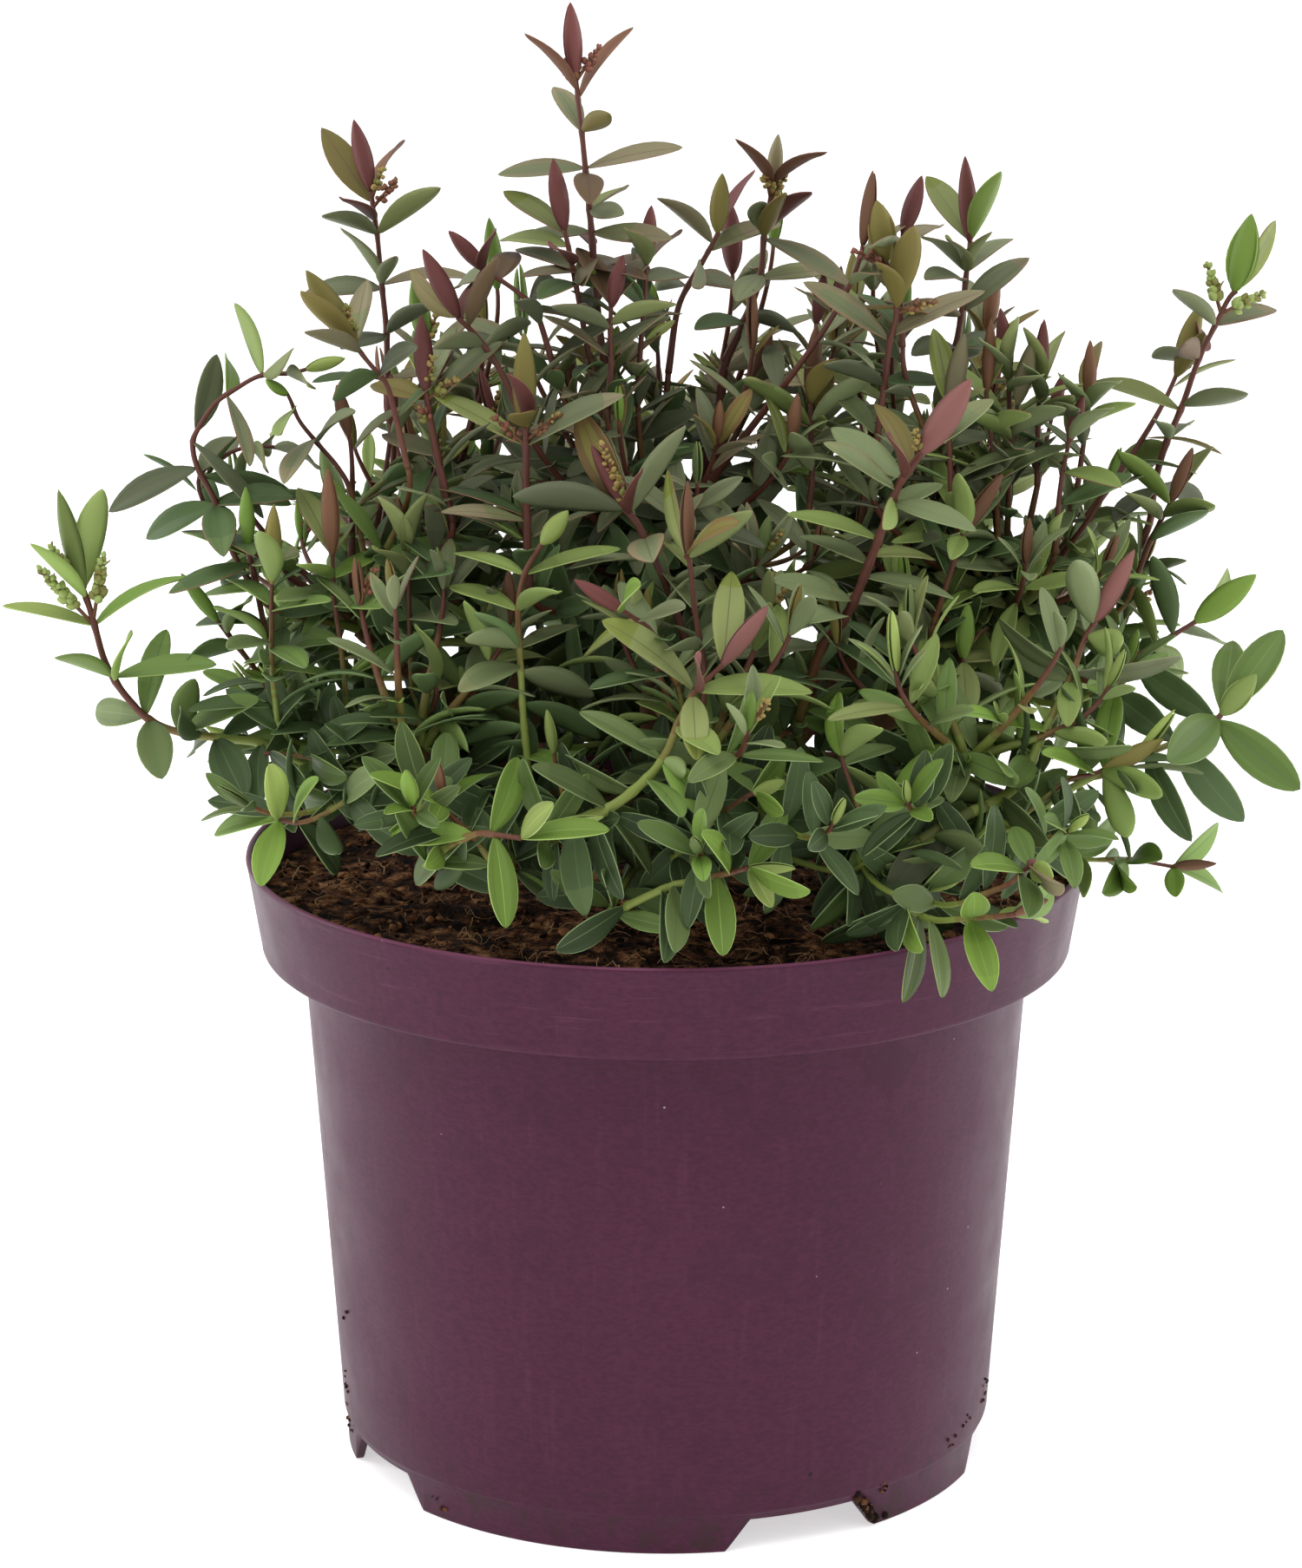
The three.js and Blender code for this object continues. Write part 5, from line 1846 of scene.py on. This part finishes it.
def mix(nd, ln, fac, a, b, kind="MIX"):
    m = nd.new("ShaderNodeMix")
    m.data_type = "RGBA"
    m.blend_type = kind
    for sock, val in ((m.inputs[0], fac), (m.inputs[6], a), (m.inputs[7], b)):
        if isinstance(val, (int, float, tuple)):
            sock.default_value = val
        else:
            ln.new(val, sock)
    return m.outputs[2]


def pot_material():
    m = bpy.data.materials.new("pot_plastic")
    m.use_nodes = True
    nd, ln, s = nodes_of(m)
    tc = nd.new("ShaderNodeTexCoord")
    cloud = noise_node(nd, ln, tc, 26.0, 5.0, 0.6)
    base = ramp(nd, ln, cloud.outputs["Fac"], [(0.3, rgb(64, 25, 47)), (0.55, rgb(67, 26, 49)), (0.75, rgb(71, 30, 53))])
    # faint drag marks that run up the wall
    streak = noise_node(nd, ln, tc, 1.0, 3.0, 0.6, (420, 420, 22))
    sr = ramp(nd, ln, streak.outputs["Fac"], [(0.56, (0, 0, 0, 1)), (0.8, (1, 1, 1, 1))])
    col = mix(nd, ln, sr.outputs["Color"], base.outputs["Color"], rgb(72, 32, 54))
    # fine mottling of the moulded face
    fine = noise_node(nd, ln, tc, 1.0, 2.0, 0.6, (620, 620, 1300))
    fm_ = ramp(nd, ln, fine.outputs["Fac"], [(0.35, (0.86, 0.86, 0.86, 1)), (0.5, (1, 1, 1, 1)), (0.65, (1.12, 1.12, 1.12, 1))])
    col = mix(nd, ln, 1.0, col, fm_.outputs["Color"], "MULTIPLY")
    # pale specks of dust
    spots = nd.new("ShaderNodeTexVoronoi")
    spots.inputs["Scale"].default_value = 135.0
    ln.new(tc.outputs["Object"], spots.inputs["Vector"])
    sp = ramp(nd, ln, spots.outputs["Distance"], [(0.016, (1, 1, 1, 1)), (0.038, (0, 0, 0, 1))])
    few = noise_node(nd, ln, tc, 60.0, 2.0)
    fr = ramp(nd, ln, few.outputs["Fac"], [(0.5, (0, 0, 0, 1)), (0.55, (0.8, 0.8, 0.8, 1))])
    mask = mix(nd, ln, 1.0, sp.outputs["Color"], fr.outputs["Color"], "MULTIPLY")
    col = mix(nd, ln, mask, col, rgb(168, 146, 154))
    # small dark specks of earth
    dots = nd.new("ShaderNodeTexVoronoi")
    dots.inputs["Scale"].default_value = 95.0
    ln.new(tc.outputs["Object"], dots.inputs["Vector"])
    dp = ramp(nd, ln, dots.outputs["Distance"], [(0.03, (1, 1, 1, 1)), (0.055, (0, 0, 0, 1))])
    some = noise_node(nd, ln, tc, 43.0, 2.0)
    so = ramp(nd, ln, some.outputs["Fac"], [(0.49, (0, 0, 0, 1)), (0.56, (1, 1, 1, 1))])
    col = mix(nd, ln, mix(nd, ln, 1.0, dp.outputs["Color"], so.outputs["Color"], "MULTIPLY"), col, rgb(34, 18, 24))
    # dark grime low on the wall and under the rim
    sep = nd.new("ShaderNodeSeparateXYZ")
    ln.new(tc.outputs["Object"], sep.inputs["Vector"])
    # scuffs that run round the rim's band, and dried water marks on the wall
    high = nd.new("ShaderNodeMapRange")
    high.inputs["From Min"].default_value = 0.106
    high.inputs["From Max"].default_value = 0.112
    ln.new(sep.outputs["Z"], high.inputs["Value"])
    scuff = noise_node(nd, ln, tc, 1.0, 4.0, 0.65, (34, 34, 620))
    sc = ramp(nd, ln, scuff.outputs["Fac"], [(0.59, (0, 0, 0, 1)), (0.69, (0.45, 0.45, 0.45, 1))])
    col = mix(nd, ln, mix(nd, ln, 1.0, sc.outputs["Color"], high.outputs["Result"], "MULTIPLY"), col, rgb(92, 50, 72))
    mark = noise_node(nd, ln, tc, 52.0, 6.0, 0.68)
    mk = ramp(nd, ln, mark.outputs["Fac"], [(0.55, (0, 0, 0, 1)), (0.6, (0.4, 0.4, 0.4, 1)), (0.7, (0.1, 0.1, 0.1, 1))])
    col = mix(nd, ln, mk.outputs["Color"], col, rgb(54, 20, 40))
    # a dried splash below the rim
    away = nd.new("ShaderNodeVectorMath")
    away.operation = "DISTANCE"
    ln.new(tc.outputs["Object"], away.inputs[0])
    away.inputs[1].default_value = (0.0435, -0.0588, 0.0985)
    reach = nd.new("ShaderNodeMapRange")
    reach.inputs["From Min"].default_value = 0.013
    reach.inputs["From Max"].default_value = 0.003
    reach.inputs["To Min"].default_value = 0.0
    reach.inputs["To Max"].default_value = 0.5
    ln.new(away.outputs["Value"], reach.inputs["Value"])
    edge = noise_node(nd, ln, tc, 230.0, 6.0, 0.8)
    total_ = nd.new("ShaderNodeMath")
    total_.operation = "ADD"
    ln.new(reach.outputs["Result"], total_.inputs[0])
    ln.new(edge.outputs["Fac"], total_.inputs[1])
    stain = ramp(nd, ln, total_.outputs["Value"], [(0.84, (0, 0, 0, 1)), (0.9, (0.6, 0.6, 0.6, 1))])
    col = mix(nd, ln, stain.outputs["Color"], col, rgb(57, 20, 40))
    # a painted highlight: the thin top edge of the lip is painted paler
    lip = nd.new("ShaderNodeMapRange")
    lip.inputs["From Min"].default_value = 0.12535
    lip.inputs["From Max"].default_value = 0.12575
    ln.new(sep.outputs["Z"], lip.inputs["Value"])
    col = mix(nd, ln, lip.outputs["Result"], col, rgb(116, 66, 90))
    low = nd.new("ShaderNodeMapRange")
    low.inputs["From Min"].default_value = 0.016
    low.inputs["From Max"].default_value = 0.0
    ln.new(sep.outputs["Z"], low.inputs["Value"])
    dirt = noise_node(nd, ln, tc, 210.0, 4.0, 0.7)
    dr = ramp(nd, ln, dirt.outputs["Fac"], [(0.5, (0, 0, 0, 1)), (0.66, (1, 1, 1, 1))])
    dm = mix(nd, ln, 1.0, dr.outputs["Color"], low.outputs["Result"], "MULTIPLY")
    col = mix(nd, ln, dm, col, rgb(48, 32, 30))
    ln.new(col, s.inputs["Base Color"])
    rr = noise_node(nd, ln, tc, 70.0, 4.0, 0.6)
    ro = nd.new("ShaderNodeMapRange")
    ro.inputs["From Min"].default_value = 0.3
    ro.inputs["From Max"].default_value = 0.7
    ro.inputs["To Min"].default_value = 0.36
    ro.inputs["To Max"].default_value = 0.48
    ln.new(rr.outputs["Fac"], ro.inputs["Value"])
    # the band is smoother than the wall
    sm = nd.new("ShaderNodeMath")
    sm.operation = "MULTIPLY_ADD"
    ln.new(high.outputs["Result"], sm.inputs[0])
    sm.inputs[1].default_value = -0.02
    ln.new(ro.outputs["Result"], sm.inputs[2])
    ln.new(sm.outputs["Value"], s.inputs["Roughness"])
    s.inputs["Specular IOR Level"].default_value = 0.15
    grain = noise_node(nd, ln, tc, 900.0, 3.0, 0.6)
    wob = noise_node(nd, ln, tc, 36.0, 3.0, 0.5)
    b1 = nd.new("ShaderNodeBump")
    b1.inputs["Strength"].default_value = 0.12
    b1.inputs["Distance"].default_value = 0.00012
    ln.new(grain.outputs["Fac"], b1.inputs["Height"])
    b2 = nd.new("ShaderNodeBump")
    b2.inputs["Strength"].default_value = 0.35
    b2.inputs["Distance"].default_value = 0.0004
    ln.new(wob.outputs["Fac"], b2.inputs["Height"])
    ln.new(b1.outputs["Normal"], b2.inputs["Normal"])
    ln.new(b2.outputs["Normal"], s.inputs["Normal"])
    return m


def soil_material():
    m = bpy.data.materials.new("growing_medium")
    m.use_nodes = True
    nd, ln, s = nodes_of(m)
    tc = nd.new("ShaderNodeTexCoord")
    a = noise_node(nd, ln, tc, 240.0, 6.0, 0.7)
    r = ramp(nd, ln, a.outputs["Fac"], [(0.4, rgb(19, 12, 9)), (0.48, rgb(62, 40, 28)), (0.55, rgb(118, 79, 54)), (0.67, rgb(190, 142, 100))])
    # damp and dry patches
    wet = noise_node(nd, ln, tc, 60.0, 2.0, 0.5)
    w = ramp(nd, ln, wet.outputs["Fac"], [(0.40, (0.42, 0.40, 0.38, 1)), (0.52, (1.12, 1.12, 1.12, 1)), (0.62, (1.5, 1.47, 1.42, 1))])
    both = nd.new("ShaderNodeVectorMath")
    both.operation = "MULTIPLY"
    ln.new(r.outputs["Color"], both.inputs[0])
    ln.new(w.outputs["Color"], both.inputs[1])
    ln.new(both.outputs["Vector"], s.inputs["Base Color"])
    s.inputs["Roughness"].default_value = 0.95
    s.inputs["Specular IOR Level"].default_value = 0.15
    b = nd.new("ShaderNodeBump")
    b.inputs["Strength"].default_value = 0.9
    b.inputs["Distance"].default_value = 0.0012
    ln.new(a.outputs["Fac"], b.inputs["Height"])
    ln.new(b.outputs["Normal"], s.inputs["Normal"])
    return m


register("pot", pot_material())
register("soil", soil_material())
for i, c in enumerate(((64, 42, 31), (102, 66, 45), (140, 94, 62), (28, 19, 14), (174, 124, 84), (120, 78, 55))):
    register(("crumb", i), plain(f"crumb_{i}", rgb(*c), 0.95, 0.1))
for i, c in enumerate(((204, 164, 120), (148, 104, 68), (84, 56, 40))):
    register(("fibre", i), plain(f"fibre_{i}", rgb(*c), 0.85, 0.2))

pot.add(verts, q, np.full(len(q), MAT_ID["pot"]), tri, np.full(len(tri), MAT_ID["pot"]))

# ------------------------------------------------------------------ growing medium
soil = Soup()
SEG, RINGS, EDGE = 180, 46, 82.05


def soil_height(x, y):
    r = math.hypot(x, y)
    k = min(1.0, max(0.0, (EDGE - r) / 5.0))
    h = 1.5 * noise.noise(Vector((x * 0.05, y * 0.05, 0.0))) + 0.9 * noise.noise(Vector((x * 0.16, y * 0.16, 3.0))) + 0.7 * noise.noise(Vector((x * 0.42, y * 0.42, 7.0)))
    near = math.exp(-(r / 14) ** 2) * 1.0
    return SOIL_Z - 0.2 + k * (h + near) - (1 - k) * 0.6


sv = [(0.0, 0.0, soil_height(0, 0))]
for i in range(1, RINGS + 1):
    r = EDGE * i / RINGS
    for jj in range(SEG):
        a = 2 * math.pi * jj / SEG
        x, y = r * math.sin(a), -r * math.cos(a)
        sv.append((x, y, soil_height(x, y)))
wall = [(81.9, 115.5), (80.55, 109.4), (79.5, 108.2), (73.4, 107.7), (72.3, 107.0), (71.9, 105.4), (64.9, 9.6), (63.5, 8.5)]
for r, z in wall:
    for jj in range(SEG):
        a = 2 * math.pi * jj / SEG
        sv.append((r * math.sin(a), -r * math.cos(a), z))
sv.append((0.0, 0.0, 8.5))
sv = np.array(sv)
total = RINGS + len(wall)
sq = []
jj = np.arange(SEG)
kk = (jj + 1) % SEG
for i in range(total - 1):
    sq.append(np.stack([1 + i * SEG + jj, 1 + (i + 1) * SEG + jj, 1 + (i + 1) * SEG + kk, 1 + i * SEG + kk], 1))
st = np.concatenate([np.stack([np.zeros(SEG, int), 1 + jj, 1 + kk], 1), np.stack([np.full(SEG, len(sv) - 1), 1 + (total - 1) * SEG + kk, 1 + (total - 1) * SEG + jj], 1)])
sq = np.concatenate(sq)
soil.add(sv, sq, np.full(len(sq), MAT_ID["soil"]), st, np.full(len(st), MAT_ID["soil"]))

crumbs = Soup()
for i in range(2600):
    r = EDGE * math.sqrt(rnd.random()) * 0.975
    a = rnd.random() * 2 * math.pi
    x, y = r * math.sin(a), -r * math.cos(a)
    heap = noise.noise(Vector((x * 0.11, y * 0.11, 11.0)))
    size = 0.3 + (0.75 + 1.2 * max(0.0, heap)) * rnd.random() ** 2.2
    size = min(size, EDGE - r)
    h = soil_height(x, y)
    ball, faces = (BALL_V, BALL_F) if size > 1.05 else (ICO_V, ICO_F)
    v = ball * np.array([1, rnd.uniform(0.45, 0.9), rnd.uniform(0.35, 0.7)])
    bump = np.array([1 + 0.55 * noise.noise(Vector((p[0] * 1.9 + i, p[1] * 1.9, p[2] * 1.9))) for p in ball])[:, None]
    sp = rnd.random() * math.pi
    cs, sn = math.cos(sp), math.sin(sp)
    v = v * bump * size
    v = np.stack([v[:, 0] * cs - v[:, 1] * sn, v[:, 0] * sn + v[:, 1] * cs, v[:, 2]], 1) + np.array([x, y, h + size * 0.25])
    # crumbs are paler on heaps, where they are drier, and towards the left side, where the paler colour is painted
    # light falling from the left
    dry_and_painted_light = 0.22 + 0.45 * max(0.0, -x / 82) + 1.0 * heap
    kind = pick((1, 2, 4, 5, 4)) if rnd.random() < dry_and_painted_light else pick((0, 3, 1, 3, 0))
    crumbs.add(v, np.zeros((0, 4), int), np.zeros(0, int), faces, np.full(len(faces), MAT_ID[("crumb", kind)]))
for i in range(900):
    r = (EDGE - 4) * math.sqrt(rnd.random())
    a = rnd.random() * 2 * math.pi
    x, y = r * math.sin(a), -r * math.cos(a)
    ln_ = rnd.uniform(2, 8.5)
    b = rnd.random() * 2 * math.pi
    bend = rnd.uniform(-1.6, 1.6)
    pts = []
    for t in np.linspace(0, 1, 6):
        px, py = x + math.cos(b + bend * t) * ln_ * t, y + math.sin(b + bend * t) * ln_ * t
        if math.hypot(px, py) > EDGE - 1:
            break
        pts.append(np.array([px, py, soil_height(px, py) + 0.5 + math.sin(t * math.pi) * rnd.uniform(0.0, 1.8)]))
    if len(pts) > 2:
        add_tube(crumbs, pts, np.linspace(0.15, 0.05, len(pts)) * rnd.uniform(0.5, 1.4), 3, MAT_ID[("fibre", rnd.randrange(3))])

# earth stuck to the outer face of the pot, beside a cut-out and on the wall
for angle, zc, wide, tall, many in ((37.0, 1.4, 1.5, 1.8, 40), (40.5, 6.5, 0.7, 1.6, 7), (59.0, 9.5, 0.9, 1.8, 7), (284.0, 14.0, 1.6, 2.6, 8),
                                    (281.0, 4.0, 1.6, 4.0, 12), (287.0, 27.0, 1.2, 4.0, 3), (77.0, 5.0, 2.0, 4.0, 13), (66.0, 11.0, 1.0, 3.0, 5), (318.0, 2.0, 2.0, 2.0, 5)):
    for i in range(many):
        th = angle + rnd.gauss(0, wide)
        size = rnd.uniform(0.3, 0.95) * (1.0 if many > 20 else 0.55)
        z = notch_height(th) + (zc if many < 20 else 0.0) + abs(rnd.gauss(0, tall)) * 0.8 + size * 0.5
        wall_r = 66.0 + 0.033 * z if z < 7.5 else 66.75 + 0.072 * (z - 8.0)
        rr = wall_r + size * rnd.uniform(-0.3, 0.5)
        pos = np.array([rr * math.sin(math.radians(th)), -rr * math.cos(math.radians(th)), z])
        bump = np.array([1 + 0.5 * noise.noise(Vector((p[0] * 2.1 + i, p[1] * 2.1, p[2] * 2.1))) for p in ICO_V])[:, None]
        crumbs.add(ICO_V * bump * size + pos, np.zeros((0, 4), int), np.zeros(0, int), ICO_F, np.full(len(ICO_F), MAT_ID[("crumb", pick((0, 3, 0, 3, 1)))]))

# ------------------------------------------------------------------ pieces
pieces = []


def piece(soup, name, nodes=()):
    ob = soup.build(name)
    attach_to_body(ob, "root")
    if nodes:
        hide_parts(*nodes)
    pieces.append((name, soup.triangles()))
    return ob


piece(pot, "pot_shell", ["pot"])
piece(soil, "growing_medium_body", ["growing_medium"])
piece(crumbs, "growing_medium_crumbs")
piece(wood, "wood_main", ["stem"] + list(BOUGHS))
limbs = [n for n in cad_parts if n.startswith("limb_")]
for m in NAMES:
    if leaves[m].n:
        piece(leaves[m], "leaves_" + m.split("_", 1)[1] + ("_mass" if m.startswith("foliage") else "_spray"), [m])
    limb = "limb_" + m.split("_", 1)[1]
    if twigs[m].n:
        piece(twigs[m], "twigs_" + m.split("_", 1)[1] + ("_mass" if m.startswith("foliage") else "_spray"),
              [limb] if m.startswith("shoots") and limb in limbs else ())
    if buds[m].n:
        piece(buds[m], "buds_" + m.split("_", 1)[1] + ("_mass" if m.startswith("foliage") else "_spray"))
print("shoots", len(heroes), filler_count, "pieces", len(pieces), "triangles", sum(t for _, t in pieces))
print("largest", sorted(pieces, key=lambda p: -p[1])[:4], "leaves", sum(t for n, t in pieces if n.startswith("leaves")), "twigs", sum(t for n, t in pieces if n.startswith("twigs")),
      "buds", sum(t for n, t in pieces if n.startswith("buds")))

# ------------------------------------------------------------------ floor, light, camera
scene = bpy.context.scene
me = bpy.data.meshes.new("floor")
me.from_pydata([(-6, -6, 0), (6, -6, 0), (6, 6, 0), (-6, 6, 0)], [], [(0, 1, 2, 3)])
floor = bpy.data.objects.new("floor", me)
scene.collection.objects.link(floor)
fm = bpy.data.materials.new("floor_pale")
fm.use_nodes = True
fs = fm.node_tree.nodes["Principled BSDF"]
fs.inputs["Base Color"].default_value = (0.9, 0.9, 0.9, 1)
fs.inputs["Roughness"].default_value = 0.9
fs.inputs["Specular IOR Level"].default_value = 0.1
fs.inputs["Emission Color"].default_value = (1, 1, 1, 1)
fs.inputs["Emission Strength"].default_value = 0.55
me.materials.append(fm)
floor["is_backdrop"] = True

world = bpy.data.worlds.new("studio")
scene.world = world
world.use_nodes = True
wn, wl = world.node_tree.nodes, world.node_tree.links
bg = wn["Background"]
bg.inputs["Color"].default_value = (1, 1, 1, 1)
bg.inputs["Strength"].default_value = 0.68
# the backdrop itself is plain white
clear = wn.new("ShaderNodeBackground")
clear.inputs["Color"].default_value = (1, 1, 1, 1)
clear.inputs["Strength"].default_value = 1.0
lp = wn.new("ShaderNodeLightPath")
ms = wn.new("ShaderNodeMixShader")
wl.new(lp.outputs["Is Camera Ray"], ms.inputs[0])
wl.new(bg.outputs["Background"], ms.inputs[1])
wl.new(clear.outputs["Background"], ms.inputs[2])
wl.new(ms.outputs["Shader"], wn["World Output"].inputs["Surface"])


def area(name, loc, aim, size, watts):
    ld = bpy.data.lights.new(name, "AREA")
    ld.shape = "RECTANGLE"
    ld.size, ld.size_y = size
    ld.energy = watts
    ob = bpy.data.objects.new(name, ld)
    ob.location = loc
    d = Vector(aim) - Vector(loc)
    ob.rotation_euler = d.to_track_quat("-Z", "Y").to_euler()
    scene.collection.objects.link(ob)
    return ob


area("key", (-0.15, -0.35, 1.35), (0, 0, 0.16), (1.0, 1.0), 8)
area("left", (-1.3, 0.35, 0.5), (0, 0, 0.14), (0.5, 1.1), 9)
area("right", (1.3, 0.35, 0.5), (0, 0, 0.14), (0.5, 1.1), 9)
area("front_left", (-1.15, -0.85, 0.3), (0, 0, 0.14), (0.2, 0.9), 2.0)
area("front_right", (0.95, -1.0, 0.35), (0, 0, 0.15), (0.25, 0.9), 1.4)

cam = bpy.data.cameras.new("camera")
cam.lens = 115.03
cam.sensor_width = 36
cam.sensor_fit = "AUTO"
cam.clip_start, cam.clip_end = 0.05, 20
co = bpy.data.objects.new("camera", cam)
co.location = (-0.00303, -0.97733, 0.39937)
co.rotation_euler = (math.radians(75.078), 0, 0)
scene.collection.objects.link(co)
scene.camera = co
scene.view_settings.view_transform = "Standard"
scene.view_settings.look = "None"

lo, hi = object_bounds()
